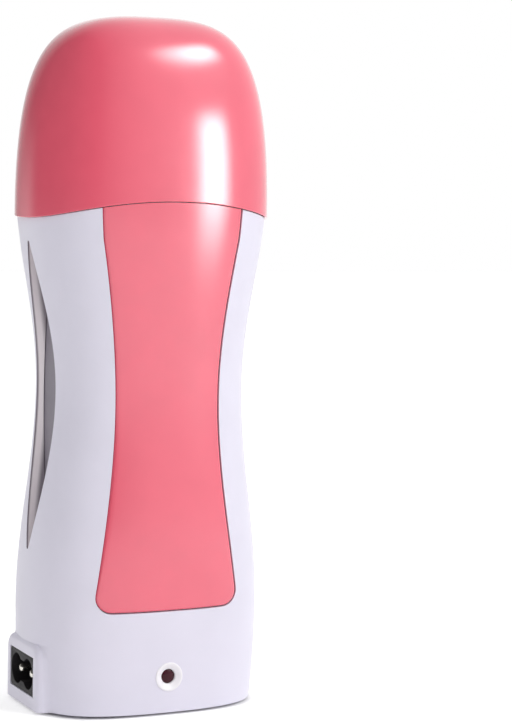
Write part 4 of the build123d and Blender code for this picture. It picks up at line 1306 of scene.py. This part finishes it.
class HEATER_OT_cap(bpy.types.Operator):
    """Domed cap that lifts off upwards"""

    bl_idname = "heater.cap"
    bl_label = "Cap"

    def execute(self, context):
        form = context.scene.heater_form
        last_row = SKIRT_ROWS + CROWN_ROWS
        bm = shell_grid(CAP_COLUMNS, last_row)
        extrude(bm, bm.faces[:], INNER, keep=True)

        def where(column, row, skin):
            """Place of a vertex of the cap."""
            wall = form.wall if skin == INNER else 0.0
            turn = 4 * column / CAP_COLUMNS
            a = CAP_HIGH.x - wall
            b = CAP_HIGH.y - wall
            point = around(turn, (a, b), 0)
            rim = parting_height(point.x, form.parting_gap)
            start = reached(lambda t: cap_profile(t, wall)[1], rim + SKIRT_HEIGHT)
            share = max(0, row - SKIRT_ROWS) / CROWN_ROWS
            reach, z = cap_profile(mix(start, 1, share), wall)
            if row >= SKIRT_ROWS:
                return around(turn, (reach, reach * b / a), z)
            point.z = mix(rim, z, row / SKIRT_ROWS)
            return point

        column, row, skin = grid_layers(bm)
        ends = ((column, 0), (column, CAP_COLUMNS), (row, last_row))
        cut(bm, [
            face
            for face in bm.faces
            if any(all(vert[layer] == value for vert in face.verts) for layer, value in ends)
        ])
        lay_out(bm, where)
        weight = bm.edges.layers.float.new("bevel_weight_edge")
        for edge in bm.edges:
            at_rim = all(vert[row] == 0 for vert in edge.verts)
            along = len({vert[skin] for vert in edge.verts}) == 1
            edge[weight] = 1.0 if at_rim and along else 0.0
        close_up(bm)
        finish = ["glossy_pink"]
        finish_piece(bm, "domed_cap", "cap", finish, ["cap_shell"], form.rim_round)
        return {"FINISHED"}


# ---------------------------------------------------------------- indicator

BEZEL_MOUTH = 3.5             # radii and depths in millimetres, along the indicator's axis
BEZEL_SLEEVE = 3.2
BEZEL_RIM = 1.0
BEZEL_SOFTNESS = 0.28
LENS_CROWN = 0.3              # height of the lens's crown, as a share of its radius
LED_REACH = 0.3               # from the bulb to the edge of its flange
LED_FLANGE = 1.0
LED_SOFTNESS = 0.15
LED_LENGTH = 5.0
LED_PITCH = 1.27              # from the axis to a lead
LED_LEAD = 0.25
LED_BEND = 0.6


class HEATER_OT_indicator(bpy.types.Operator):
    """Countersunk bezel, crowned lens and the lamp behind it"""

    bl_idname = "heater.indicator"
    bl_label = "Indicator"

    def execute(self, context):
        inwards = (0, 1, 0)
        rim = BEZEL_HIGH.x / MM
        depth = (BEZEL_HIGH.y - BEZEL_LOW.y) / MM
        lens_low, lens_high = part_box("led_lens")
        lens = lens_high.x / MM
        sink = (lens_low.y - BEZEL_LOW.y) / MM
        ring = [(lens, depth), (lens, sink), (BEZEL_MOUTH, 0), (rim, 0), (rim, BEZEL_RIM)]
        ring += [(BEZEL_SLEEVE, BEZEL_RIM), (BEZEL_SLEEVE, depth)]
        profile = softened(ring, BEZEL_SOFTNESS, closed=True)
        bm = bmesh.new()
        turned(bm, profile, aimed((0, BEZEL_LOW.y, LAMP_Z), inwards), 72)
        close_up(bm)
        finish_piece(bm, "bezel_ring", "heater", ["gloss_white"], ["led_bezel"])

        back = (lens_high.y - lens_low.y) / MM
        profile = domed(lens, LENS_CROWN * lens) + [(lens, back), (0, back)]
        bm = bmesh.new()
        turned(bm, profile, aimed((0, lens_low.y, LAMP_Z), inwards), 64)
        close_up(bm)
        finish_piece(bm, "lamp_lens", "heater", ["tinted_lens"], ["led_lens"])

        low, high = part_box("indicator_led")
        bulb = high.x / MM - LED_REACH
        edge = bulb + LED_REACH
        shoulder = LED_LENGTH - LED_FLANGE
        profile = domed(bulb, bulb) + [(bulb, shoulder)]
        profile += softened([(edge, shoulder), (edge, LED_LENGTH), (0, LED_LENGTH)], LED_SOFTNESS)
        bm = bmesh.new()
        turned(bm, profile, aimed((0, low.y, LAMP_Z), inwards), 40)
        root = (low.y / MM + LED_LENGTH, LAMP_Z / MM)
        bend = high.y / MM - LED_LEAD
        for x in (-LED_PITCH, LED_PITCH):
            path = [(x, *root), (x, bend, root[1]), (x, bend, low.z / MM)]
            tube(bm, softened(path, LED_BEND), LED_LEAD, upright(0, 0, 0), material=1)
        close_up(bm)
        finishes = ["red_resin", "tinned_wire"]
        finish_piece(bm, "lamp_body", "heater", finishes, ["indicator_led"])
        return {"FINISHED"}


# ---------------------------------------------------------------- mains inlet

PIN_SPACING = 8.6             # millimetres
LOBE = 4.2                    # radius of the two ends of the socket
LOBE_WAIST = 2.9              # half width of the socket between them
LOBE_STEPS = 32
SOCKET_DEPTH = 9.6
HOUSING_HALF = 9.2            # half width of the housing without its ears
HOUSING_CORNER = 1.0
HOUSING_ROUND = 0.25
EAR_START = 5.3               # from the housing's face to its ears
EAR_THICKNESS = 1.5
EAR_OVERLAP = 0.3             # how far an ear reaches into the housing
EAR_ROUND = 0.2
PIN_POINT = 0.6               # height of a pin's round end, as a share of its radius
PIN_ROOT = 0.95
PIN_TAIL = 0.6
TAIL_LENGTH = 3.0
TAIL_BEND = 1.2


def figure_of_eight():
    """Outline of the socket: two round lobes with a straight waist between them."""
    half = PIN_SPACING / 2
    start = math.asin(LOBE_WAIST / LOBE)
    points = []
    for side in (1, -1):
        for i in range(LOBE_STEPS + 1):
            angle = mix(start - math.pi, math.pi - start, i / LOBE_STEPS)
            points.append((side * (half + LOBE * math.cos(angle)), side * LOBE * math.sin(angle)))
    return points


class HEATER_OT_inlet(bpy.types.Operator):
    """Inlet housing with its figure-of-eight socket, and the two pins in it"""

    bl_idname = "heater.inlet"
    bl_label = "Mains inlet"

    def execute(self, context):
        low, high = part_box("socket_housing")
        height = (low.z + high.z) / 2
        half_height = (high.z - low.z) / 2 / MM
        face = Matrix(((0, 0, 1, low.x), (1, 0, 0, 0), (0, 1, 0, height), (0, 0, 0, 1)))
        face = face @ Matrix.Scale(MM, 4)
        bm = bmesh.new()
        outline = loop(bm, rounded_rectangle(HOUSING_HALF, half_height, HOUSING_CORNER), face)
        eight = loop(bm, figure_of_eight(), face)
        front = fill(bm, outline, eight)
        mouth = fill(bm, eight)
        push(bm, front + mouth, (high.x - low.x, 0, 0), keep=True)
        push(bm, mouth, (SOCKET_DEPTH * MM, 0, 0))
        close_up(bm)
        round_rims(bm, HOUSING_ROUND * MM, segments=3)
        for side in (-1, 1):
            ends = sorted((side * (HOUSING_HALF - EAR_OVERLAP) * MM, side * high.y))
            ear_low = Vector((low.x + EAR_START * MM, ends[0], low.z))
            ear_high = Vector((ear_low.x + EAR_THICKNESS * MM, ends[1], high.z))
            brick(bm, ear_low, ear_high, EAR_ROUND * MM)
        bmesh.ops.recalc_face_normals(bm, faces=bm.faces[:])
        finish = ["black_moulding"]
        finish_piece(bm, "inlet_block", "heater", finish, ["socket_housing"])

        pin_low, pin_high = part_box("socket_pins")
        pin = pin_high.y / MM - PIN_SPACING / 2
        floor = (low.x + SOCKET_DEPTH * MM - pin_low.x) / MM
        back = (high.x - pin_low.x) / MM
        profile = domed(pin, PIN_POINT * pin) + [(pin, floor), (PIN_ROOT, floor)]
        profile += [(PIN_ROOT, back), (0, back)]
        start = high.x / MM
        end = start + TAIL_LENGTH
        bm = bmesh.new()
        for y in (-PIN_SPACING / 2, PIN_SPACING / 2):
            turned(bm, profile, aimed((pin_low.x, y * MM, height), (1, 0, 0)), 32)
            path = [(start, y, height / MM), (end, y, height / MM), (end, y, pin_low.z / MM)]
            tube(bm, softened(path, TAIL_BEND, count=6), PIN_TAIL, upright(0, 0, 0))
        close_up(bm)
        finish_piece(bm, "inlet_pins", "heater", ["nickel_plate"], ["socket_pins"])
        return {"FINISHED"}


# ---------------------------------------------------------------- underside

SCREW_PLAY = 0.2              # millimetres between a screw and its hole
SEAT_PLAY = 0.2
BASE_SCREW = 1.1              # radius of the base screws
BASE_SCREW_HEAD = 2.2
BOARD_SCREW = 0.9
BOARD_SCREW_HEAD = 1.8
BOARD_POST = 2.5
PLATE_SIDES = 160
PLATE_THICKNESS = 2.0
FLAT_MARGIN = 0.1             # below the plate's upper side, where that side is searched
PLATE_ROUND = 0.2
BORE_MARGIN = 1.01            # reach of a bore's ends, as a share of its radius
FOOT = 4.0
FOOT_HOLLOW = (2.6, 3.0)      # radii of the hollow under a foot, inside and at its edge
FOOT_HOLLOW_DEPTH = 0.12
FOOT_SOFTNESS = 0.45


def corners(node, inset):
    """The four places of a node's like pieces, inset from the node's own box."""
    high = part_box(node)[1]
    x = high.x - inset * MM
    y = high.y - inset * MM
    return [(sx * x, sy * y) for sx in (-1, 1) for sy in (-1, 1)]


def bore(bm, centre, radius):
    """Opens a round hole between the two flat ends that lie inside its radius."""
    reach = BORE_MARGIN * radius
    ends = [
        face
        for face in bm.faces
        if all((vert.co.xy - Vector(centre)).length < reach for vert in face.verts)
    ]
    edges = {edge for face in ends for edge in face.edges}
    rims = [edge for edge in edges if sum(face in ends for face in edge.link_faces) == 1]
    cut(bm, ends)
    bmesh.ops.bridge_loops(bm, edges=rims)


def post_tops(bm, posts, height):
    """Upper faces of the plate that lie over its board posts."""
    return [
        face
        for face in bm.faces
        if all(vert.co.z > height for vert in face.verts)
        and any(
            (face.calc_center_median().xy - Vector(post)).length < BOARD_POST * MM
            for post in posts
        )
    ]


class HEATER_OT_underside(bpy.types.Operator):
    """Base plate with its seats, rubber feet and base screws"""

    bl_idname = "heater.underside"
    bl_label = "Base plate, feet and screws"

    def execute(self, context):
        low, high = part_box("base_plate")
        feet_low, feet_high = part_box("rubber_feet")
        floor = upright(0, 0, low.z)
        turns = [4 * i / PLATE_SIDES for i in range(PLATE_SIDES)]
        section = [around(turn, (high.x, high.y), 0) / MM for turn in turns]
        outline = [(max(point.x, low.x / MM), point.y) for point in section]
        feet = corners("rubber_feet", FOOT)
        screws = corners("base_screws", BASE_SCREW_HEAD)
        posts = corners("board_screws", BOARD_SCREW_HEAD)
        hole = BASE_SCREW + SCREW_PLAY / 2

        def circles(places, radius):
            """One circle on the plate's underside round each of the places."""
            centres = [(x / MM, y / MM) for x, y in places]
            return [loop(bm, ring_points(radius, centre=centre), floor) for centre in centres]

        bm = bmesh.new()
        foot_rims = circles(feet, FOOT + SEAT_PLAY / 2)
        screw_rims = circles(screws, BASE_SCREW_HEAD + SEAT_PLAY)
        screw_holes = circles(screws, hole)
        post_rims = circles(posts, BOARD_POST)
        plate = fill(bm, loop(bm, outline, floor), *foot_rims, *screw_rims, *post_rims)
        seats = [face for rim in foot_rims for face in fill(bm, rim)]
        for rim, inner in zip(screw_rims, screw_holes):
            seats += fill(bm, rim, inner) + fill(bm, inner)
        post_faces = [face for rim in post_rims for face in fill(bm, rim)]
        push(bm, plate + seats + post_faces, (0, 0, PLATE_THICKNESS * MM), keep=True)
        push(bm, seats, (0, 0, feet_high.z - low.z))
        tops = post_tops(bm, posts, low.z + (PLATE_THICKNESS - FLAT_MARGIN) * MM)
        push(bm, tops, (0, 0, high.z - low.z - PLATE_THICKNESS * MM))
        for place in screws:
            bore(bm, place, hole * MM)
        close_up(bm)
        round_rims(bm, PLATE_ROUND * MM)
        close_up(bm)
        finish = ["textured_base"]
        finish_piece(bm, "bottom_plate", "heater", finish, ["base_plate"])

        top = (feet_high.z - feet_low.z) / MM
        inside, edge = FOOT_HOLLOW
        profile = [(0, FOOT_HOLLOW_DEPTH), (inside, FOOT_HOLLOW_DEPTH), (edge, 0)]
        profile = softened(profile + [(FOOT, 0), (FOOT, top), (0, top)], FOOT_SOFTNESS)
        bm = bmesh.new()
        for x, y in feet:
            turned(bm, profile, upright(x, y, feet_low.z), 56)
        close_up(bm)
        finish_piece(bm, "foot_pads", "heater", ["matt_rubber"], ["rubber_feet"])

        screw_low, screw_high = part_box("base_screws")
        seat = screw_low.z + HEAD_THICKNESS * MM
        shank = (screw_high.z - seat) / MM
        bm = bmesh.new()
        for x, y in screws:
            screw(bm, aimed((x, y, seat), (0, 0, -1)), shank, BASE_SCREW, BASE_SCREW_HEAD)
        close_up(bm)
        finish_piece(bm, "bottom_screws", "heater", ["zinc_plate"], ["base_screws"])
        return {"FINISHED"}


# ---------------------------------------------------------------- control board

BOARD_CORNER = 1.5            # millimetres
CASE_ROUND = 0.8
AXIAL_LEAD = 0.35             # radius of a lead
AXIAL_BARE = 2                # length of lead that shows beyond each end of a body
AXIAL_OVERLAP = 0.1           # how far a lead reaches into a body
AXIAL_SHOULDER = 0.28         # where a body's waist starts and ends, as shares of its length
AXIAL_WAIST = 0.34
AXIAL_SOFTNESS = 0.45
AXIAL_BEND = 0.5

# CAD node, piece, slot, finish, waist as a share of the radius, places across the board
AXIALS = (
    ("resistors", "axial_resistors", "resistor_body", "banded_lacquer", 0.86, (0.0, 4.5)),
    ("diode", "axial_diode", "diode_body", "banded_diode", 1.0, (-4.5,)),
)


def axial(bm, y, radius, reach, board_top, waist):
    """Adds an axial component: a body with or without a waist, on leads bent down to the board."""
    z = board_top / MM + radius
    length = 2 * (reach - AXIAL_BARE)
    half = length / 2
    ends = [(0, -half), (radius, -half), (radius, -half + AXIAL_SHOULDER * length)]
    ends += [(waist, -half + AXIAL_WAIST * length), (waist, half - AXIAL_WAIST * length)]
    ends += [(radius, half - AXIAL_SHOULDER * length), (radius, half), (0, half)]
    turned(bm, softened(ends, AXIAL_SOFTNESS), aimed((0, y * MM, z * MM), (1, 0, 0)), 32)
    for side in (-1, 1):
        end = side * reach
        path = [(side * (half - AXIAL_OVERLAP), y, z), (end, y, z), (end, y, board_top / MM)]
        tube(bm, softened(path, AXIAL_BEND), AXIAL_LEAD, upright(0, 0, 0), material=1)


class HEATER_OT_board(bpy.types.Operator):
    """Control board with its screws and components"""

    bl_idname = "heater.board"
    bl_label = "Control board"

    def execute(self, context):
        low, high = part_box("control_board")
        half_x = (high.x - low.x) / 2 / MM
        middle = upright((low.x + high.x) / 2, 0, low.z)
        flat = upright(0, 0, low.z)
        posts = corners("board_screws", BOARD_SCREW_HEAD)
        pin_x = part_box("socket_pins")[1].x / MM - PIN_TAIL
        bm = bmesh.new()
        outline = loop(bm, rounded_rectangle(half_x, high.y / MM, BOARD_CORNER), middle)
        rings = [ring_points(BOARD_SCREW, 24, (x / MM, y / MM)) for x, y in posts]
        rings += [ring_points(PIN_TAIL, 20, (pin_x, side * PIN_SPACING / 2)) for side in (-1, 1)]
        holes = [loop(bm, points, flat) for points in rings]
        push(bm, fill(bm, outline, *holes), (0, 0, high.z - low.z), keep=True)
        close_up(bm)
        join_flats(bm)
        finish = ["solder_mask"]
        finish_piece(bm, "circuit_panel", "heater", finish, ["control_board"])

        bm = bmesh.new()
        brick(bm, *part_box("dropper_capacitor"), CASE_ROUND * MM)
        nodes = ["dropper_capacitor"]
        finish_piece(bm, "film_capacitor", "heater", ["capacitor_shell"], nodes)

        for node, name, slot, finish, waist, places in AXIALS:
            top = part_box(node)[1]
            radius = (top.z - high.z) / 2 / MM
            bm = bmesh.new()
            for y in places:
                axial(bm, y, radius, top.x / MM - AXIAL_LEAD, high.z, waist * radius)
            close_up(bm)
            finish_piece(bm, name, "heater", [finish, "tinned_wire"], [node])

        shank = (high.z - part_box("board_screws")[0].z) / MM
        bm = bmesh.new()
        for x, y in posts:
            screw(bm, upright(x, y, high.z), shank, BOARD_SCREW, BOARD_SCREW_HEAD)
        close_up(bm)
        finish_piece(bm, "panel_screws", "heater", ["zinc_plate"], ["board_screws"])
        return {"FINISHED"}


# ---------------------------------------------------------------- finishes

ALONG_Z = (1, 1, 0.06)        # stretches a noise into lines along the heater's height
ALONG_X = (0.06, 1, 1)
WINDOW_SHADOW_LINE = (0.3 * MM, 0.6 * MM)      # depths at which the window's painted shadow line ends
WINDOW_LIT_BAND = (1.8 * MM, 3.0 * MM)      # depths at which its painted light band ends
WRAP_PITCH = 4 * MM           # half the width of one turn of the amber wrap
WRAP_LINE = (1.6 * MM, 2.0 * MM)
FILM_TAB = 0.1 * MM           # soft edge of the contact tab under the mica film
FUSE_LEAD = 6.5 * MM          # length of lead at each end of the fuse
FUSE_SEAL = 1.2 * MM
TRACK_SOFTNESS = 0.1
TRACK_RELIEF = 0.05 * MM
BAND_HALF = 0.28 * MM
BANDS = (                     # places in millimetres along a resistor, and their tones
    (-2.3, (0.13, 0.045, 0.02)),
    (-0.9, (0.01, 0.01, 0.01)),
    (0.0, (0.55, 0.10, 0.01)),
    (2.2, (0.5, 0.33, 0.07)),
)
CATHODE_BAND = (1.5 * MM, 0.35 * MM)    # middle and half width of the diode's band


def plastics(tones):
    """Finishes of the moulded plastic pieces."""
    shader = moulded("glossy_pink", tones.pink, 0.05, (0.20, 0.25), (900, 0.00002))[1]
    tune(shader, {"Coat Weight": 1.0, "Coat IOR": 1.6, "Coat Roughness": 0.12})
    moulded("white_satin", tones.white, 0.03, (0.32, 0.40), (1800, 0.00003))
    moulded("gloss_white", tones.bezel, 0.02, (0.30, 0.36), (1500, 0.00001))
    moulded("textured_base", darker(tones.white, 0.08), 0.05, (0.48, 0.60), (2600, 0.00012))
    shader = moulded("frosted", tones.liner, 0.06, (0.42, 0.52), (1500, 0.00003), blotch=90)[1]
    radius = (0.004, 0.004, 0.004)
    tune(shader, {"Subsurface Weight": 0.12, "Subsurface Radius": radius, "Subsurface Scale": 0.3})
    shader = moulded("black_moulding", tones.socket, 0.12, (0.46, 0.56), (2400, 0.00005))[1]
    tune(shader, {"Specular IOR Level": 0.3})
    shader = moulded("tinted_lens", tones.lens, 0.2, (0.06, 0.09), (1500, 0.00001))[1]
    tune(shader, {"Transmission Weight": 0.25, "IOR": 1.49, "Specular IOR Level": 0.2})
    shader = moulded("red_resin", (0.62, 0.02, 0.02), 0.1, (0.05, 0.09), (1500, 0.00001))[1]
    tune(shader, {"Transmission Weight": 0.55, "IOR": 1.53})
    amber = (0.62, 0.40, 0.035)
    shader = moulded("capacitor_shell", amber, 0.08, (0.22, 0.3), (1600, 0.00005))[1]
    tune(shader, {"Coat Weight": 0.3})
    rubber = (0.030, 0.030, 0.032)
    moulded("matt_rubber", rubber, 0.25, (0.78, 0.92), (3200, 0.00012), blotch=200)
    sleeves = {"brown_sleeve": (0.13, 0.045, 0.018), "blue_sleeve": (0.018, 0.07, 0.32)}
    for name, tone in sleeves.items():
        shader = moulded(name, tone, 0.12, (0.5, 0.62), (2500, 0.00004))[1]
        tune(shader, {"Sheen Weight": 0.2})


def paint_window_light_and_shade(tones):
    """Window frame material with painted shade and light: a painted shadow line at its edge, a band
    painted lighter as if lit, then painted shade deeper in.
    """
    tree, shader = moulded("smoked_frame", tones.frame, 0.06, (0.34, 0.42), (1800, 0.00003))
    depth = add(tree, "ShaderNodeAttribute", attribute_name="depth").outputs["Fac"]
    start = remap(tree, depth, WINDOW_SHADOW_LINE, (0, 1))
    end = remap(tree, depth, WINDOW_LIT_BAND, (1, 0))
    # painted light on the band, over the painted shade of the frame's dark tone
    recolour(tree, shader, maths(tree, "MULTIPLY", start, end), tones.band)


def metal(name, tone, clouding, roughness, grain, blotch, stretch=(1, 1, 1)):
    """Rolled, bent or plated metal."""
    return moulded(name, tone, clouding, roughness, grain, blotch, 1.0, stretch)


def metals():
    """Finishes of springs, plates, pins and screws."""
    spring, sheet, strip = (0.56, 0.56, 0.58), (0.76, 0.765, 0.78), (0.52, 0.52, 0.54)
    metal("rolled_spring", spring, 0.10, (0.24, 0.36), (1500, 0.00003), 400, ALONG_Z)
    metal("rolled_aluminium", sheet, 0.07, (0.30, 0.44), (1200, 0.00004), 300, ALONG_Z)
    metal("bent_strip", strip, 0.12, (0.28, 0.42), (1400, 0.00004), 350, ALONG_X)
    metal("nickel_plate", (0.78, 0.75, 0.69), 0.06, (0.14, 0.24), (1500, 0.00002), 300, ALONG_X)
    metal("rivet_metal", (0.68, 0.68, 0.70), 0.08, (0.34, 0.46), (1800, 0.00005), 250)
    metal("tinned_wire", TINNED, 0.08, (0.28, 0.40), (2000, 0.00004), 300)
    zinc = (0.66, 0.68, 0.72)
    tree, shader = metal("zinc_plate", zinc, 0.10, (0.24, 0.38), (2200, 0.00004), 300)
    patina = remap(tree, object_noise(tree, 700, 3), (0.45, 0.7), (0, 0.6))
    recolour(tree, shader, patina, (0.62, 0.58, 0.44))


def insulation():
    """Finishes of the films, wraps and small cases round the heating element."""
    amber = (0.58, 0.24, 0.03)
    tree, shader = moulded("amber_wrap", amber, 0.18, (0.18, 0.30), (1400, 0.00003), 220)
    height = object_axis(tree, "Z")
    turns = remap(tree, maths(tree, "PINGPONG", height, WRAP_PITCH), WRAP_LINE, (0, 0.8))
    recolour(tree, shader, turns, (0.34, 0.12, 0.012))
    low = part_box("ptc_insulator")[0]
    bare_metal(tree, shader, remap(tree, height, (low.z - FILM_TAB, low.z), (1, 0)))

    mica = (0.74, 0.70, 0.60)
    tree, shader = moulded("mica_film", mica, 0.10, (0.30, 0.5), (1200, 0.00003), 250)
    flakes = add(tree, "ShaderNodeTexVoronoi", Scale=900.0)
    tree.links.new(add(tree, "ShaderNodeTexCoord").outputs["Object"], flakes.inputs["Vector"])
    edges = remap(tree, flakes.outputs["Distance"], (0.1, 0.4), (0.5, 0))
    recolour(tree, shader, edges, (0.55, 0.48, 0.34))

    phenolic = (0.022, 0.021, 0.023)
    tree, shader = moulded("switch_case", phenolic, 0.2, (0.4, 0.52), (2400, 0.00005))
    bare_metal(tree, shader, beyond(tree, away(tree, "X"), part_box("thermostat")[1].x - 2 * MM))

    glaze = (0.72, 0.70, 0.63)
    tree, shader = moulded("glazed_fuse", glaze, 0.06, (0.16, 0.26), (1500, 0.00002))
    across = away(tree, "X")
    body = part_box("thermal_fuse")[1].x - FUSE_LEAD
    recolour(tree, shader, beyond(tree, across, body - FUSE_SEAL), (0.36, 0.17, 0.10))
    bare_metal(tree, shader, beyond(tree, across, body + 0.02 * MM))


def board_finishes():
    """Solder mask over copper tracks, and the banded components."""
    green = (0.012, 0.085, 0.030)
    tree, shader = moulded("solder_mask", green, 0.12, (0.22, 0.34), (1500, 0.00002), 90)
    tracks = add(tree, "ShaderNodeTexBrick", Scale=1.0, offset=0.37, offset_frequency=2)
    tune(tracks, {
        "Brick Width": 7.5 * MM,
        "Row Height": 3.2 * MM,
        "Mortar Size": 0.45 * MM,
        "Mortar Smooth": TRACK_SOFTNESS,
    })
    tree.links.new(add(tree, "ShaderNodeTexCoord").outputs["Object"], tracks.inputs["Vector"])
    recolour(tree, shader, tracks.outputs["Fac"], (0.025, 0.15, 0.055))
    grain = shader.inputs["Normal"].links[0].from_node
    relief = add(tree, "ShaderNodeBump", Strength=0.5, Distance=TRACK_RELIEF)
    tree.links.new(tracks.outputs["Fac"], relief.inputs["Height"])
    tree.links.new(grain.outputs["Normal"], relief.inputs["Normal"])
    tree.links.new(relief.outputs["Normal"], shader.inputs["Normal"])

    blue = (0.15, 0.30, 0.40)
    tree, shader = moulded("banded_lacquer", blue, 0.08, (0.24, 0.34), (1500, 0.00003), 200)
    for centre, tone in BANDS:
        recolour(tree, shader, band(tree, centre * MM, BAND_HALF), tone)

    black = (0.015, 0.015, 0.016)
    tree, shader = moulded("banded_diode", black, 0.2, (0.34, 0.46), (2200, 0.00004), 200)
    recolour(tree, shader, band(tree, *CATHODE_BAND), (0.5, 0.5, 0.5))


DRESSED = {
    "cap_shell": "glossy_pink",
    "front_inlay": "glossy_pink",
    "front_casing": "white_satin",
    "rear_casing": "white_satin",
    "neck_collar": "white_satin",
    "led_bezel": "gloss_white",
    "led_lens": "tinted_lens",
    "indicator_led": "red_resin",
    "base_plate": "textured_base",
    "base_screws": "zinc_plate",
    "rubber_feet": "matt_rubber",
    "well_liner": "frosted",
    "pressure_spring": "rolled_spring",
    "heater_plate": "rolled_aluminium",
    "ptc_element": "amber_wrap",
    "ptc_insulator": "mica_film",
    "ptc_strap": "bent_strip",
    "ptc_strap_screws": "zinc_plate",
    "sensor_strap": "bent_strip",
    "sensor_rivets": "rivet_metal",
    "thermostat": "switch_case",
    "thermal_fuse": "glazed_fuse",
    "socket_housing": "black_moulding",
    "socket_pins": "nickel_plate",
    "control_board": "solder_mask",
    "board_screws": "zinc_plate",
    "dropper_capacitor": "capacitor_shell",
    "resistors": "banded_lacquer",
    "diode": "banded_diode",
    "live_lead": "brown_sleeve",
    "link_lead": "brown_sleeve",
    "ptc_live_lead": "brown_sleeve",
    "neutral_lead": "blue_sleeve",
}


class HEATER_OT_finishes(bpy.types.Operator):
    """Finish of every surface"""

    bl_idname = "heater.finishes"
    bl_label = "Finishes"

    def execute(self, context):
        tones = context.scene.heater_colours
        plastics(tones)
        # the window frames' material, with painted shade and light
        paint_window_light_and_shade(tones)
        metals()
        insulation()
        board_finishes()
        for node, finish in DRESSED.items():
            mesh = frame["nodes"][node].data
            mesh.materials.clear()
            mesh.materials.append(bpy.data.materials[finish])
        return {"FINISHED"}


class HEATER_PT_panel(bpy.types.Panel):
    """Sidebar with one button for each step"""

    bl_label = "Wax Heater"
    bl_idname = "HEATER_PT_panel"
    bl_space_type = "VIEW_3D"
    bl_region_type = "UI"
    bl_category = "Wax Heater"

    def draw(self, context):
        for step in STEPS:
            self.layout.operator(step.bl_idname)


STEPS = (
    HEATER_OT_stage,
    HEATER_OT_finishes,
    HEATER_OT_casing,
    HEATER_OT_inlay,
    HEATER_OT_cap,
    HEATER_OT_indicator,
    HEATER_OT_inlet,
    HEATER_OT_underside,
    HEATER_OT_board,
)
CLASSES = (HeaterColours, HeaterForm, *STEPS, HEATER_PT_panel)


def register():
    """Registers the add-on and gives each scene its colours and sizes."""
    for each in CLASSES:
        bpy.utils.register_class(each)
    bpy.types.Scene.heater_colours = bpy.props.PointerProperty(type=HeaterColours)
    bpy.types.Scene.heater_form = bpy.props.PointerProperty(type=HeaterForm)


def unregister():
    """Takes back what register did."""
    del bpy.types.Scene.heater_form
    del bpy.types.Scene.heater_colours
    for each in reversed(CLASSES):
        bpy.utils.unregister_class(each)


def main():
    """Runs every step."""
    register()
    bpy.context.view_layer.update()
    for step in STEPS:
        kind, name = step.bl_idname.split(".")
        getattr(getattr(bpy.ops, kind), name)()


if __name__ == "__main__":
    main()
